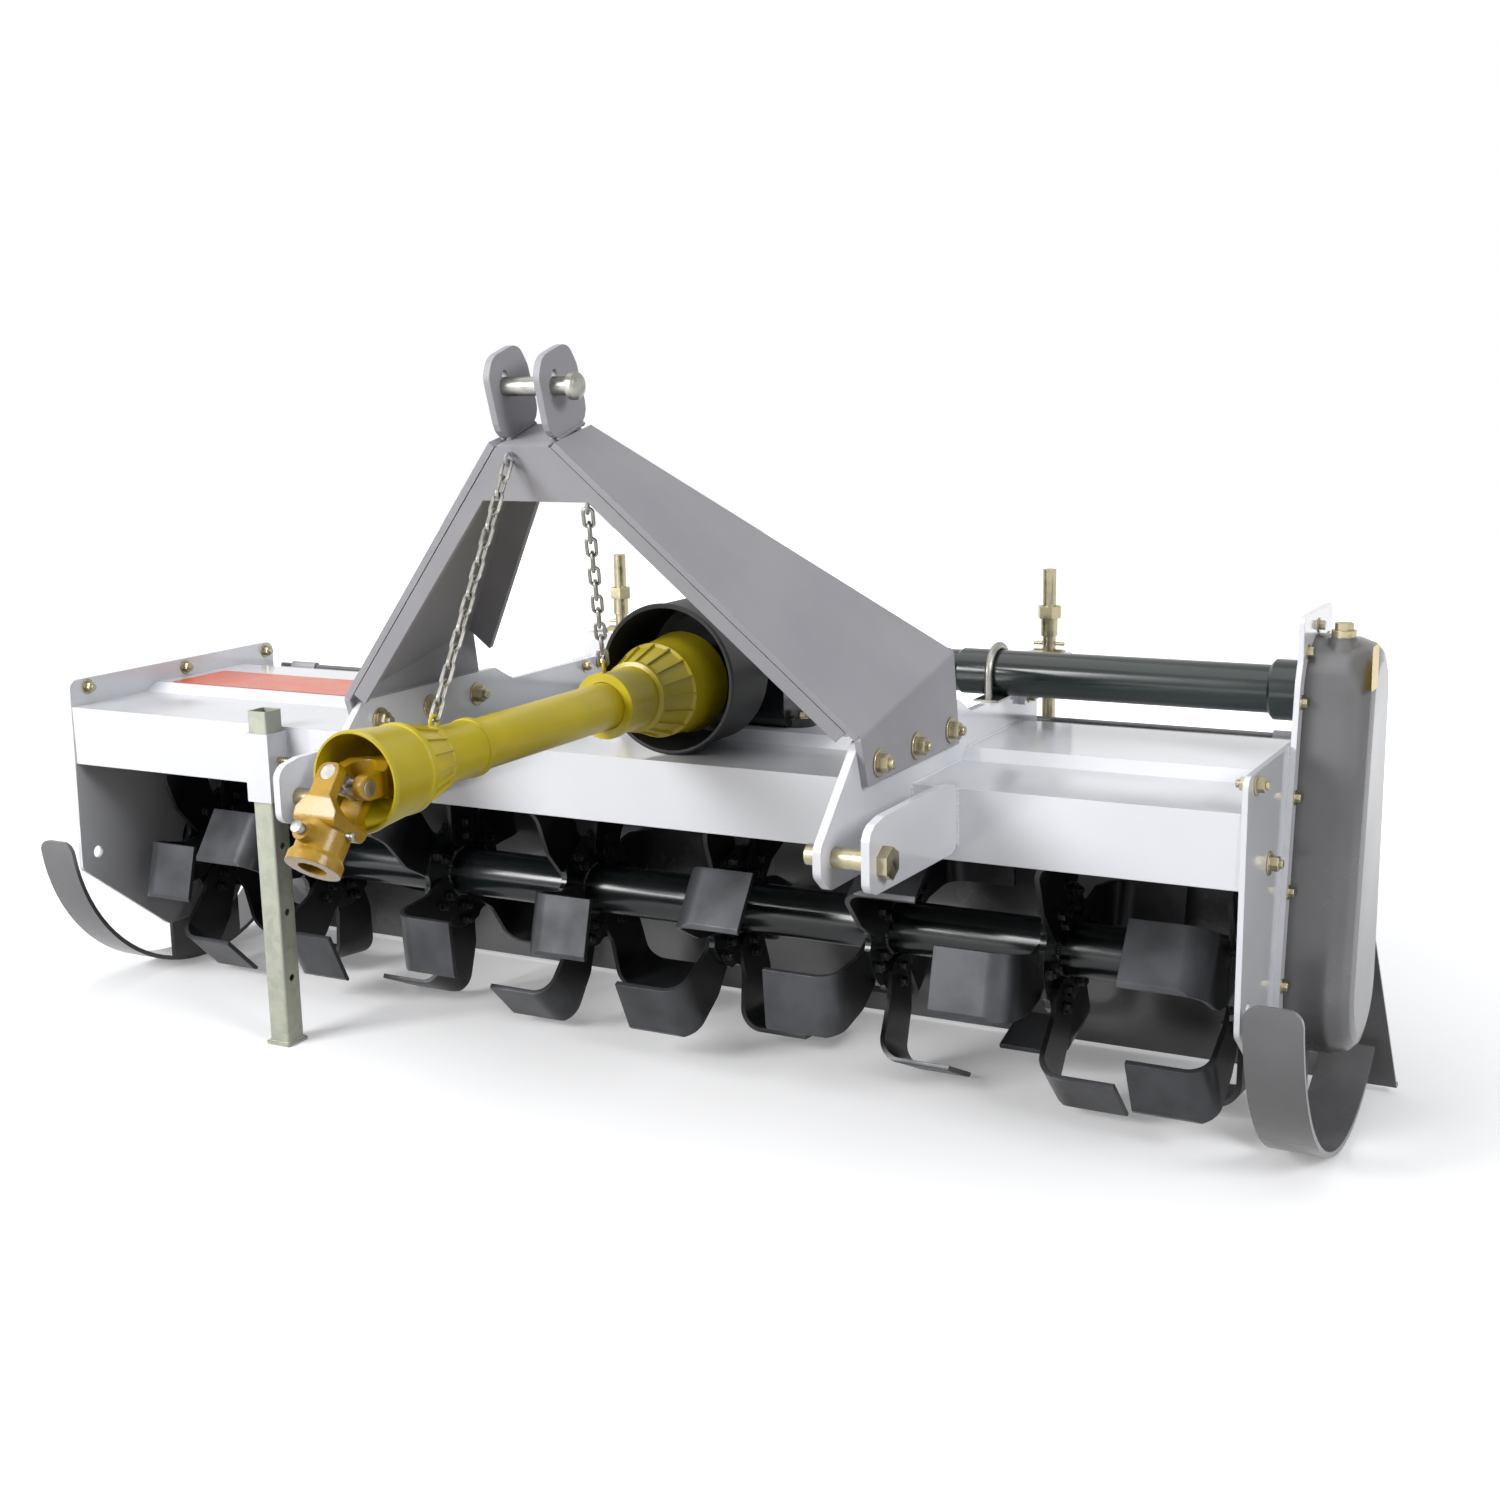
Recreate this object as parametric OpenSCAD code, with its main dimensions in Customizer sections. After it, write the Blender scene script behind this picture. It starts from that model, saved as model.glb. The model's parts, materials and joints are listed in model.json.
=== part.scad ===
// Tractor-mounted rotary tiller: a folded hood over a tined rotor, carried on a
// three-point hitch and driven through a jointed shaft, a gearbox and a side chain case.
// Millimetres. +X is the chain-case side, +Y the rear, +Z up, and the floor is at zero.

/* [Hood] */
// Width of the hood between its two end plates
hood_w = 2090; // [1500:10:2600]
// Depth of the hood from its front lip to its rear edge
hood_d = 540; // [420:5:700]
// Height of the lip's lower edge above the floor
lip_z = 442; // [350:1:550]
// Height of the front lip
lip_h = 103; // [60:1:160]
// Rise of the deck behind its front fold
deck_rise = 15; // [5:1:40]
// Sheet of the hood
sheet_t = 5; // [3:0.5:8]
// From the part's middle back to the front lip
lip_y = 102; // [0:1:200]

/* [End plates and skids] */
// Plate of the two hood ends
plate_t = 8; // [5:1:15]
// Depth of the end plates
plate_d = 527; // [400:1:650]
// Height of an end plate's lower edge above the floor
plate_z = 92; // [40:1:200]
// Height of an end plate's top above the floor
plate_top = 592; // [500:1:700]
// Radius of a skid's runner
skid_r = 316; // [200:1:450]
// Width of a skid's runner
skid_w = 79; // [40:1:120]
// Bar of a skid's runner
skid_t = 8; // [5:1:15]
// Gap from the hood's end to a skid
skid_gap = 5; // [2:1:30]

/* [Rotor] */
// Rotor axis behind the lip
rotor_y = 295; // [200:1:400]
// Rotor axis above the floor
rotor_z = 240; // [200:1:320]
// Radius out to the tine tips
tip_r = 236; // [180:1:300]
// Outside of the rotor tube
rotor_d = 84; // [60:1:120]
// Outside of a tine flange
flange_d = 206; // [150:1:260]
// Plate of a tine flange
flange_t = 10; // [6:1:16]
// Tine flanges on the rotor
flange_n = 8; // [5:1:12]
// Tines on one flange
tine_n = 6; // [4:2:8]
// Spring steel of a tine
tine_t = 8; // [5:1:12]
// Reach of a tine's leaf along the rotor
leaf_w = 122; // [60:1:130]
// Turn from one flange to the next
flange_step = 20; // [5:1:40]

/* [Hitch] */
// Hitch middle to the chain-case side of the hood's middle
hitch_x = 168; // [0:1:300]
// Half the distance between the inner hitch plates
rib_x = 412; // [300:1:480]
// Plate of the hitch
rib_t = 12; // [8:1:20]
// Distance from an inner to an outer hitch plate
cheek_gap = 68; // [50:1:90]
// Lower link pins in front of the lip
link_y = -250; // [-320:1:-180]
// Lower link pins above the floor
link_z = 500; // [420:1:560]
// Lower link pin
link_d = 28; // [22:0.5:37]
// Height from the lower pins to the top pin
mast_h = 601; // [460:1:700]
// Top link pin in front of the lip
top_y = -292; // [-360:1:-220]
// Top link pin
top_d = 25; // [19:0.5:32]
// Clear gap between the mast's ears
ear_gap = 68; // [45:1:80]
// Plate of the mast
mast_t = 10; // [6:1:16]

/* [Drive] */
// Input shaft above the floor
drive_z = 650; // [560:1:740]
// Gearbox middle behind the lip
box_y = 335; // [250:1:420]
// Outside of the cross tube to the chain case
tube_d = 70; // [50:1:100]
// Outside of the shield round the input shaft
bowl_d = 224; // [180:1:300]
// Front rim of the shield behind the lip
bowl_y = 40; // [0:1:100]
// Depth of the chain case's cover
cover_d = 90; // [60:1:140]
// Lower radius of the cover
cover_r0 = 108; // [80:1:140]
// Upper radius of the cover
cover_r1 = 84; // [60:1:120]

/* [Drive shaft] */
// Rim of the front guard in front of the lip
bell_y = -682; // [-760:1:-560]
// Outside of the front guard's rim
bell_d = 124; // [100:1:160]
// Outside of the guard tube
guard_d = 68; // [50:1:90]
// Bore of the tractor-side yoke
spline_d = 35; // [30:0.1:45]
// Droop of the tractor-side yoke
droop = 52; // [0:1:55]

/* [Parking leg] */
// Leg's middle on the left of the hood's middle
leg_x = -570; // [-900:1:-450]
// Side of the square leg
leg_w = 40; // [30:1:60]
// Length of the leg
leg_l = 577; // [480:1:700]

/* [Rear flap] */
// Width of the flap at its lower edge
flap_w = 2340; // [1700:10:2700]
// Width of the flap at its hinges
flap_top_w = 2124; // [1500:2:2600]
// Lower edge of the flap above the floor
flap_z = 10; // [5:1:120]
// Sheet of the flap
flap_t = 5; // [3:0.5:8]
// Adjuster rod
rod_d = 22; // [16:1:30]
// Top of the adjuster rods above the floor
rod_top = 785; // [700:1:900]

/* [Chains] */
// Wire of a chain link
wire_d = 5; // [3:0.5:8]
// Inside length of a chain link
link_l = 26; // [18:1:40]

/* [Hidden] */
$fn = 64;
over = 1;
slip = 0.05;
air = 0.3;
grid = 0.02;
paint_white = [0.93, 0.94, 0.97];
paint_grey = [0.55, 0.56, 0.59];
paint_black = [0.07, 0.07, 0.08];
guard_yellow = [0.82, 0.72, 0.12];
zinc = [0.72, 0.68, 0.55];
zinc_wire_fn = 16;

half_w = hood_w / 2;
deck_z = lip_z + lip_h;
end_x = half_w + plate_t;

// Wall and fastening sizes that follow from the plates above
hub_d = 110;
hub_flange_d = 150;
stub_d = 50;
case_plate_t = 8;
hub_flange_t = case_plate_t - air;
case_rim = 22;
case_top_y = box_y + cover_r1 / 8;
case_low_y = rotor_y + cover_r0 / 8;
case_x = end_x + case_plate_t;

function spread(shares, d, h) = [for (s = shares) [s[0] * d, s[1] * h]];
function back(list) = [for (i = [len(list) - 1:-1:0]) list[i]];
function unit(v) = v / norm(v);

// One corner of an outline as an arc of the given radius, or less where its edges are short
function corner_arc(a, b, c, r, n) =
    let (u = unit(a - b), w = unit(c - b), half = acos(u * w) / 2,
        run = min(r / tan(half), norm(a - b) * 0.48, norm(c - b) * 0.48),
        bend = run * tan(half), mid = b + unit(u + w) * bend / sin(half),
        p = b + u * run - mid, q = b + w * run - mid, start = atan2(p[1], p[0]),
        sweep = (atan2(q[1], q[0]) - start + 540) % 360 - 180)
    [for (i = [0:n]) mid + bend * [cos(start + sweep * i / n), sin(start + sweep * i / n)]];
// An outline with all its corners rounded
function eased(points, r, n = 4) = let (c = len(points)) [for (i = [0:c - 1])
    each corner_arc(points[(i + c - 1) % c], points[i], points[(i + 1) % c], r, n)];
function block(w, h) = [[0, 0], [w, 0], [w, h], [0, h]];

// Everything behind is measured from the hood's front lip
module place() {
    translate([0, lip_y, 0]) children();
}

// A plate that stands across the machine: the outline is depth by height
module upright(x, t) {
    translate([x, 0, 0]) rotate([90, 0, 90]) linear_extrude(height = t) children();
}

// A round bar along the width
module bar_x(d, x, l) {
    translate([x, 0, 0]) rotate([0, 90, 0]) cylinder(h = l, d = d);
}

// A turned piece along the depth: the outline is radius by distance back
module turned_y() {
    rotate([-90, 0, 0]) rotate_extrude() children();
}

// A turned piece along the width: the outline is radius by distance to the right
module turned_x() {
    rotate([0, 90, 0]) rotate_extrude() children();
}

// A piece seen from the front: the outline is width by height, from the given depth backwards
module facing(y, t) {
    translate([0, y + t, 0]) rotate([90, 0, 0]) linear_extrude(height = t) children();
}

module both_hitch_sides() {
    for (side = [-1, 1]) translate([hitch_x, 0, 0]) mirror([side < 0 ? 1 : 0, 0, 0]) children();
}

module both_ends() {
    for (side = [0, 1]) mirror([side, 0, 0]) children();
}

// Hood

deck_shares = [[0, 0], [0.33, 0], [0.38, 1], [0.8, 1], [1, -0.3]];
function deck_line(drop) = [for (s = deck_shares)
    [s[0] * hood_d, deck_z + s[1] * deck_rise - drop]];
rear_z = deck_z - 0.3 * deck_rise;

lip_return = 18;
rear_fold = 30;
seam_h = 44;

function under_deck(drop) = [for (p = deck_line(drop))
    [min(max(p[0], sheet_t), hood_d - sheet_t), p[1]]];

// The sheet's whole fold: returned lip, front, deck and turned-down rear edge
module deck_section() {
    polygon(concat([[0, lip_z]], deck_line(0), [[hood_d, rear_z - rear_fold],
        [hood_d - sheet_t, rear_z - rear_fold]], back(under_deck(sheet_t)),
        [[sheet_t, lip_z + sheet_t], [lip_return, lip_z + sheet_t], [lip_return, lip_z]]));
}

// The strip under each end of the deck that an end plate is bolted to
module end_seam() {
    upright(half_w - sheet_t, sheet_t)
        polygon(concat(under_deck(sheet_t / 2), back(under_deck(seam_h))));
}

module below_deck() {
    polygon(concat([[0, 0]], deck_line(0), [[hood_d * 2, rear_z], [hood_d * 2, 0]]));
}

module hood() {
    color(paint_white) place() {
        upright(-half_w, hood_w) deck_section();
        both_ends() end_seam();
    }
}

// End plates

plate_shares = [[0, 1], [1, 1], [1, 0.42], [0.7, 0], [0.36, 0], [-0.015, 0.31]];

plate_round = 16;
lift_d = 22;
lift_share = [0.06, 0.36];

module end_outline() {
    plate_h = plate_top - plate_z;
    difference() {
        translate([0, plate_z]) polygon(eased(spread(plate_shares, plate_d, plate_h), plate_round));
        translate([rotor_y, rotor_z]) circle(d = hub_d);
        translate([lift_share[0] * plate_d, plate_z + lift_share[1] * plate_h]) circle(d = lift_d);
    }
}

module side_plate_left() {
    color(paint_white) place() upright(-end_x, plate_t) end_outline();
}

module side_plate_right() {
    color(paint_white) place() upright(half_w, plate_t) end_outline();
}

module rotor_bearings() {
    color(paint_black) place() translate([0, rotor_y, rotor_z]) both_ends() difference() {
        union() {
            bar_x(hub_d, half_w, plate_t);
            bar_x(hub_flange_d, end_x, hub_flange_t);
        }
        bar_x(stub_d + 2 * slip, half_w - over, plate_t + hub_flange_t + 2 * over);
    }
}

// Chain case

module case_outline(extra) {
    r0 = cover_r0 + extra;
    r1 = cover_r1 + extra;
    dy = case_top_y - case_low_y;
    dz = drive_z - rotor_z;
    run = norm([dy, dz]);
    lean = atan2(dy, dz);
    tip = asin((r0 - r1) / run);
    translate([case_low_y, rotor_z]) rotate(-lean) {
        circle(r = r0);
        translate([0, run]) circle(r = r1);
        polygon([[r0 * cos(tip), r0 * sin(tip)], [r1 * cos(tip), run + r1 * sin(tip)],
            [-r1 * cos(tip), run + r1 * sin(tip)], [-r0 * cos(tip), r0 * sin(tip)]]);
    }
}

crown_w = 182;
crown_h = 118;
crown_round = 14;

// The white inner plate ends in a square crown above the drive tube
module chain_case_plate() {
    color(paint_white) place() upright(end_x, case_plate_t) difference() {
        union() {
            case_outline(case_rim);
            translate([case_top_y - crown_w / 2, drive_z])
                polygon(eased(block(crown_w, crown_h), crown_round));
        }
        translate([rotor_y, rotor_z]) circle(d = hub_flange_d);
        translate([case_top_y, drive_z]) circle(d = stub_d);
    }
}

// Each step of the pressing: its share of the depth, and its share of the upper radius drawn in
pressing_shares = [[0, 0], [0.62, 0.03], [0.86, 0.12], [0.96, 0.24], [1, 0.42]];
skin = 0.5;
plug_d = 26;
plug_l = 20;
plug_x = case_x + cover_d * 0.45;
plug_y = case_top_y - cover_r1 / 3;
boss_d = 42;
boss_z = drive_z + cover_r1;

module pressing_step(i) {
    s = pressing_shares[i];
    upright(case_x + s[0] * (cover_d - skin), skin) case_outline(-s[1] * cover_r1, $fn = 48);
}

// A deep-drawn cover: each step of the pressing runs into the next
module chain_case_cover() {
    color(paint_grey) place() {
        for (i = [0:len(pressing_shares) - 2]) hull() {
            pressing_step(i);
            pressing_step(i + 1);
        }
        translate([plug_x, plug_y, drive_z]) cylinder(h = boss_z - drive_z, d = boss_d);
    }
}

module filler_plug() {
    color(zinc) place() translate([plug_x, plug_y, boss_z]) {
        cylinder(h = plug_l / 2, d = plug_d * 1.3);
        cylinder(h = plug_l, d = plug_d, $fn = 6);
    }
}

// Skids

skid_rear_share = 0.63;

module runner_section() {
    translate([rotor_y, skid_r]) intersection() {
        difference() {
            circle(r = skid_r, $fn = 160);
            circle(r = skid_r - skid_t, $fn = 160);
        }
        translate([-skid_r, -skid_r]) square([skid_r * (1 + skid_rear_share), skid_r * 0.94]);
    }
}

tip_round = 22;

// A curved bar with its front tip rounded
module skids() {
    color(paint_grey) place() both_ends() intersection() {
        upright(end_x + skid_gap, skid_w) runner_section();
        facing(-skid_r, 3 * skid_r) translate([end_x + skid_gap, -tip_round])
            polygon(eased(block(skid_w, skid_r * 0.94 + tip_round), tip_round, 6));
    }
}

web_w = 180;
web_gap = 2;
web_top = rotor_z - cover_r0 - case_rim - web_gap;

module skid_webs() {
    color(paint_grey) place() both_ends() upright(end_x, case_plate_t) intersection() {
        translate([rotor_y, skid_r]) circle(r = skid_r - skid_t, $fn = 160);
        translate([rotor_y - web_w / 2, 0]) square([web_w, web_top]);
    }
}

// Hitch

nose_l = 40;
nose_drop = 42;
rib_rise = 92;
rod_off = 36;
nose_y = link_y - nose_l;
rib_z = link_z - nose_drop;
rib_top = deck_z + rib_rise;
rib_back = hood_d - rod_off;
rib_round = 16;
rib_len = rib_back - nose_y;
rib_h = rib_top - rib_z;
rib_shares = [[0, 0.13], [0.035, 0], [1, 0], [1, 0.86], [0.64, 0.86], [0.58, 1], [0.15, 1],
    [0, 0.34]];
rib_low_z = rib_z + 0.86 * rib_h;
cheek_shares = [[0, 0.16], [0.06, 0.06], [1, 0], [1, 0.94], [0.78, 1], [0.16, 1], [0.05, 0.94],
    [0, 0.82]];
cheek_rise = 14;
cheek_round = 24;
cheek_z = lip_z + cheek_rise;
cheek_h = lip_h;

module link_hole() {
    translate([link_y, link_z]) circle(d = link_d + 2 * slip);
}

module hitch_ribs() {
    color(paint_white) place() both_hitch_sides() upright(rib_x - rib_t / 2, rib_t) difference() {
        translate([nose_y, rib_z]) polygon(eased(spread(rib_shares, rib_len, rib_h), rib_round));
        below_deck();
        link_hole();
    }
}

module hitch_cheeks() {
    color(paint_white) place() both_hitch_sides()
        upright(rib_x + cheek_gap - rib_t / 2, rib_t) difference() {
            translate([nose_y, cheek_z])
                polygon(eased(spread(cheek_shares, -nose_y, cheek_h), cheek_round));
            link_hole();
        }
}

pin_head = 14;
pin_tail = 26;
pin_collar = 5;

// A pin through both plates: hexagon head outside, collar and plain tail inside
module lower_pins() {
    color(zinc) place() both_hitch_sides() translate([rib_x, link_y, link_z]) {
        bar_x(link_d, -rib_t / 2 - pin_tail, cheek_gap + rib_t + pin_tail + pin_head);
        bar_x(link_d * 1.5, -rib_t / 2 - pin_collar, pin_collar);
        translate([cheek_gap + rib_t / 2, 0, 0]) rotate([0, 90, 0])
            cylinder(h = pin_head, d = link_d * 1.6, $fn = 6);
    }
}

// Mast: each arm is one sheet, bent along the crease above its bolted foot, with a turned-in front

top_z = link_z + mast_h;
foot_x = rib_x + rib_t / 2;
foot_front = [-187, 640];
foot_rear = [129, 709];
foot_low = 576;
foot_toe = 20;
arm_lean = 43;
fold = atan2(foot_rear[1] - foot_front[1], foot_rear[0] - foot_front[0]);
fold_l = norm(foot_rear - foot_front);
arm_l = 547;
arm_head = [-37, 53];
arm_fold_w = 22;
rear_fold_w = 46;
fold_share = 0.8;
bend_steps = 6;

module at_crease() {
    translate([foot_x, foot_front[0], foot_front[1]]) rotate([fold, 0, 0]) children();
}

// The bent sheet seen along its crease: foot down, arm up and inwards
function bent_strip() = let (up = [-sin(arm_lean), cos(arm_lean)], out = [cos(arm_lean), sin(arm_lean)])
    concat([[0, -arm_l], [0, 0], arm_l * up, arm_l * up + mast_t * out],
        [for (i = [bend_steps:-1:0]) mast_t * [cos(arm_lean * i / bend_steps), sin(arm_lean * i / bend_steps)]],
        [[mast_t, -arm_l]]);

module arm_sheet() {
    intersection() {
        at_crease() facing(-fold_l, 3 * fold_l) polygon(bent_strip());
        union() {
            at_crease() rotate([0, -arm_lean, 0]) upright(-arm_l, 2 * arm_l)
                polygon([[0, 0], [fold_l, 0], [arm_head[1], arm_l], [arm_head[0], arm_l]]);
            upright(foot_x - over, 2 * mast_t) polygon([foot_front + [0, mast_t],
                foot_front, [foot_front[0] + foot_toe, foot_low],
                [foot_rear[0] + foot_toe, foot_low], foot_rear, foot_rear + [0, mast_t]]);
        }
    }
}

// The strip turned in along an arm's rear edge, up to the head, and down along the foot
module arm_rear() {
    at_crease() rotate([0, -arm_lean, 0]) upright(-rear_fold_w, rear_fold_w + mast_t / 2)
        polygon([[fold_l - mast_t, 0], [fold_l, 0], [fold_l + fold_share * (arm_head[1] - fold_l), fold_share * arm_l],
            [fold_l - mast_t + fold_share * (arm_head[1] - fold_l), fold_share * arm_l]]);
}

module mast_arms() {
    color(paint_grey) place() both_hitch_sides() {
        arm_sheet();
        arm_rear();
    }
}

// The head leans forward with the arms' front edges
mast_tilt = 17.5;
head_y = -285;
head_z = top_z - mast_h / 4;
head_h = 78;
head_high = 41;
head_d = 84;
head_rear_low = 105;
head_rear_high = 34;

module at_head() {
    place() translate([hitch_x, head_y, head_z]) rotate([mast_tilt, 0, 0]) children();
}
// An arm's front edge, in the plane of the head's front
function in_head(y, z) = (z - head_z) * cos(mast_tilt) - (y - head_y) * sin(mast_tilt);
arm_up = arm_l * cos(arm_lean);
front_low = [foot_x, in_head(foot_front[0], foot_front[1])];
front_high = [foot_x - arm_l * sin(arm_lean), in_head(foot_front[0] + arm_head[0] * cos(fold) - arm_up * sin(fold),
    foot_front[1] + arm_head[0] * sin(fold) + arm_up * cos(fold))];
front_run = unit(front_low - front_high);
front_in = [front_run[1], -front_run[0]];
front_seat = 1.2;
front_short = 16;
front_top = front_high + front_seat * front_in;
front_end = front_low + front_seat * front_in - front_short * front_run;
front_strip = front_top + arm_fold_w * front_in;
front_corner = front_strip - front_run * front_strip[1] / front_run[1];
front_half = [front_corner, front_end + arm_fold_w * front_in, front_end, front_top];
function other_side(list) = [for (p = back(list)) [-p[0], p[1]]];

function head_point(p) = [hitch_x + p[0], head_y + p[1] * cos(mast_tilt) - p[2] * sin(mast_tilt),
    head_z + p[1] * sin(mast_tilt) + p[2] * cos(mast_tilt)];

// A wire eye that a chain hangs on, upright in the chain's own plane
eye_r = 8;
eye_off = 8;
module chain_eye(at, to) {
    run = to - at;
    translate(at) rotate([0, 0, atan2(run[1], run[0])]) rotate([90, 0, 0])
        rotate_extrude($fn = 32) translate([eye_r, 0]) circle(d = wire_d, $fn = zinc_wire_fn);
}

// Front plate with a leg down each arm's edge, and a rear plate, under a cap; open below
module mast_head() {
    color(paint_grey) at_head() {
        facing(0, mast_t) polygon(concat(front_half, other_side(front_half)));
        facing(head_d - mast_t, mast_t) polygon([[-head_rear_low, 0], [head_rear_low, 0],
            [head_rear_high, head_h], [-head_rear_high, head_h]]);
        translate([0, 0, head_h - mast_t]) linear_extrude(height = mast_t)
            polygon([[-head_high, 0], [head_high, 0], [head_rear_high, head_d], [-head_rear_high, head_d]]);
    }
    color(paint_grey) place() {
        chain_eye(front_eye, front_guard_eye);
        chain_eye(rear_eye, rear_guard_eye);
    }
}

ear_d = 94;
ear_h = 112;
ear_u = 6;
ear_round = 26;
ear_shares = [[0, 0], [1, 0], [0.98, 0.7], [0.86, 1], [0.2, 1], [0.02, 0.8]];
key_d = 13;

module mast_ears() {
    color(paint_grey) place() translate([hitch_x, 0, 0]) both_ends() difference() {
        translate([0, head_y, head_z]) rotate([mast_tilt, 0, 0]) upright(ear_gap / 2, mast_t)
            translate([ear_u, head_h]) polygon(eased(spread(ear_shares, ear_d, ear_h), ear_round));
        upright(ear_gap / 2 - over, mast_t + 2 * over) {
            translate([top_y, top_z]) circle(d = top_d + 2 * slip);
            translate([top_y, top_z + top_d * 0.6]) circle(d = key_d);
        }
    }
}

pin_out = 26;
dome_d = 36;
dome_l = 14;

// A plain pin with a domed head on the right
module top_pin() {
    color(zinc) place() translate([hitch_x, top_y, top_z]) {
        bar_x(top_d, -ear_gap / 2 - mast_t - pin_head, ear_gap + 2 * mast_t + pin_head + pin_out);
        translate([ear_gap / 2 + mast_t + pin_out, 0, 0]) turned_x()
            polygon([[0, 0], [dome_d / 2, 0], [dome_d / 2, dome_l * 0.6], [dome_d * 0.42, dome_l * 0.85],
                [dome_d * 0.28, dome_l], [0, dome_l]]);
    }
}

// Gearbox and cross drive

box_w = 210;
box_d = 230;
box_h = 190;
box_round = 26;
stub_l = 40;
base_w = 270;
base_d = 192;
base_t = 14;
box_cap_d = 150;
box_cap_t = 14;
lid_w = 150;
lid_t = 10;
breather_d = 26;
breather_h = 24;
box_z = deck_z + deck_rise;
box_shares = [[-0.5, 0], [0.5, 0], [0.5, 0.74], [0.3, 1], [-0.3, 1], [-0.5, 0.74]];

module gearbox() {
    color(paint_black) place() translate([hitch_x, box_y, box_z]) {
        upright(-box_w / 2, box_w) polygon(eased(spread(box_shares, box_d, box_h), box_round));
        translate([-base_w / 2, -base_d / 2, 0]) linear_extrude(height = base_t)
            polygon(eased(block(base_w, base_d), box_round));
        translate([0, case_top_y - box_y, drive_z - box_z])
            bar_x(box_cap_d, -box_w / 2 - box_cap_t, box_w + 2 * box_cap_t);
        translate([-lid_w / 2, -box_d * 0.3, box_h]) linear_extrude(height = lid_t)
            polygon(eased(block(lid_w, box_d * 0.6), box_round));
        translate([0, 0, box_h]) cylinder(h = breather_h, d = breather_d, $fn = 6);
        translate([0, -box_d / 2 - stub_l, drive_z - box_z]) rotate([-90, 0, 0])
            cylinder(h = stub_l + box_round, d = box_w * 0.6);
    }
}

bowl_wall = 4;
bowl_rim = 3;
bowl_back = box_y - box_d / 2 - stub_l;
bowl_l = bowl_back - bowl_y;

bowl_up = 11;

// A deep bowl round the shaft's end: rolled rim, straight wall, rounded back with the shaft's hole
module input_shield() {
    color(paint_black) place() difference() {
        translate([hitch_x, bowl_y, drive_z + bowl_up]) turned_y()
            polygon([[bowl_d / 2 - bowl_wall, 0], [bowl_d / 2, 0], [bowl_d / 2 + bowl_rim, bowl_rim],
                [bowl_d / 2, 2 * bowl_rim], [bowl_d / 2, bowl_l * 0.82], [bowl_d * 0.46, bowl_l * 0.95],
                [bowl_d * 0.4, bowl_l], [0, bowl_l],
                [0, bowl_l - bowl_wall], [bowl_d * 0.39, bowl_l - bowl_wall],
                [bowl_d * 0.45, bowl_l * 0.93], [bowl_d / 2 - bowl_wall, bowl_l * 0.81]]);
        translate([hitch_x, bowl_y, drive_z]) rotate([-90, 0, 0]) cylinder(h = 2 * bowl_l, d = shaft_d + 2 * bowl_wall);
    }
}

tube_x = hitch_x + box_w / 2 + box_cap_t;
tube_l = end_x - tube_x;
tube_step = rib_x - box_w / 2 - 2 * box_cap_t;
step_l = 46;
collar_d = 88;
collar_l = 54;
collar_ease = 5;

// A tube with a bolted flange at the gearbox, a step and a collar at the chain case
module cross_tube() {
    color(paint_black) place() translate([tube_x, case_top_y, drive_z]) turned_x()
        polygon([[0, 0], [collar_d * 0.65, 0], [collar_d * 0.65, box_cap_t], [tube_d * 0.46, box_cap_t],
            [tube_d * 0.46, tube_step - step_l], [tube_d / 2, tube_step - step_l + collar_ease],
            [tube_d / 2, tube_l - collar_l], [collar_d / 2 - collar_ease, tube_l - collar_l],
            [collar_d / 2, tube_l - collar_l + collar_ease], [collar_d / 2, tube_l], [0, tube_l]]);
}

clamp_x = hitch_x + rib_x;
clamp_d = 12;
clamp_w = 40;
clamp_r = (tube_d + clamp_d) / 2;
clamp_leg = drive_z - rib_low_z;

// A bent rod over the tube, on a saddle plate that sits on the hitch rib
module tube_clamp() {
    color(zinc) place() translate([clamp_x, case_top_y, drive_z]) {
        rotate([90, 0, 90]) rotate_extrude(angle = 180) translate([clamp_r, 0]) circle(d = clamp_d);
        for (side = [-1, 1]) translate([0, side * clamp_r, -clamp_leg])
            cylinder(h = clamp_leg, d = clamp_d);
        translate([-clamp_w / 2, -clamp_r - clamp_d, -clamp_leg])
            cube([clamp_w, 2 * (clamp_r + clamp_d), clamp_leg - tube_d / 2]);
    }
}

// Drive shaft guards: a bell at each end, a ribbed cone, a sleeve and a collar, on one plain tube

guard_wall = 4;
guard_gap = 0.6;
rear_bell_d = bell_d * 1.23;
guard_l = 230;
rear_start = -135;
rib_n = 16;
guard_rib_t = 3;
guard_rib_h = 4;
// Radius as a share of the bell's, and place as a share of the guard's length from its collar
bell_shares = [[0.63, 0], [0.63, 0.04], [0.6, 0.04], [0.6, 0.34], [0.69, 0.35], [0.69, 0.38], [0.66, 0.39],
    [0.86, 0.61], [0.93, 0.62], [0.93, 0.65], [0.9, 0.66], [0.98, 0.9], [1.02, 0.98], [1, 1]];
hollow_shares = [[0.95, 1], [0.84, 0.67], [0.6, 0.42]];

// The turned guard from its collar at nought to its rim, with ribs on the cone
module guard_bell(d) {
    r = d / 2;
    turned_y() polygon(concat(spread(bell_shares, r, guard_l), spread(hollow_shares, r, guard_l),
        [[guard_d / 2 + guard_gap, guard_l * 0.4], [guard_d / 2 + guard_gap, 0]]));
    for (i = [0:rib_n - 1]) rotate([0, i * 360 / rib_n, 0]) upright(-guard_rib_t / 2, guard_rib_t)
        polygon([[guard_l * 0.37, r * 0.64], [guard_l * 0.6, r * 0.8], [guard_l * 0.625, r * 0.93],
            [guard_l * 0.37, r * 0.69]]);
}

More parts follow.
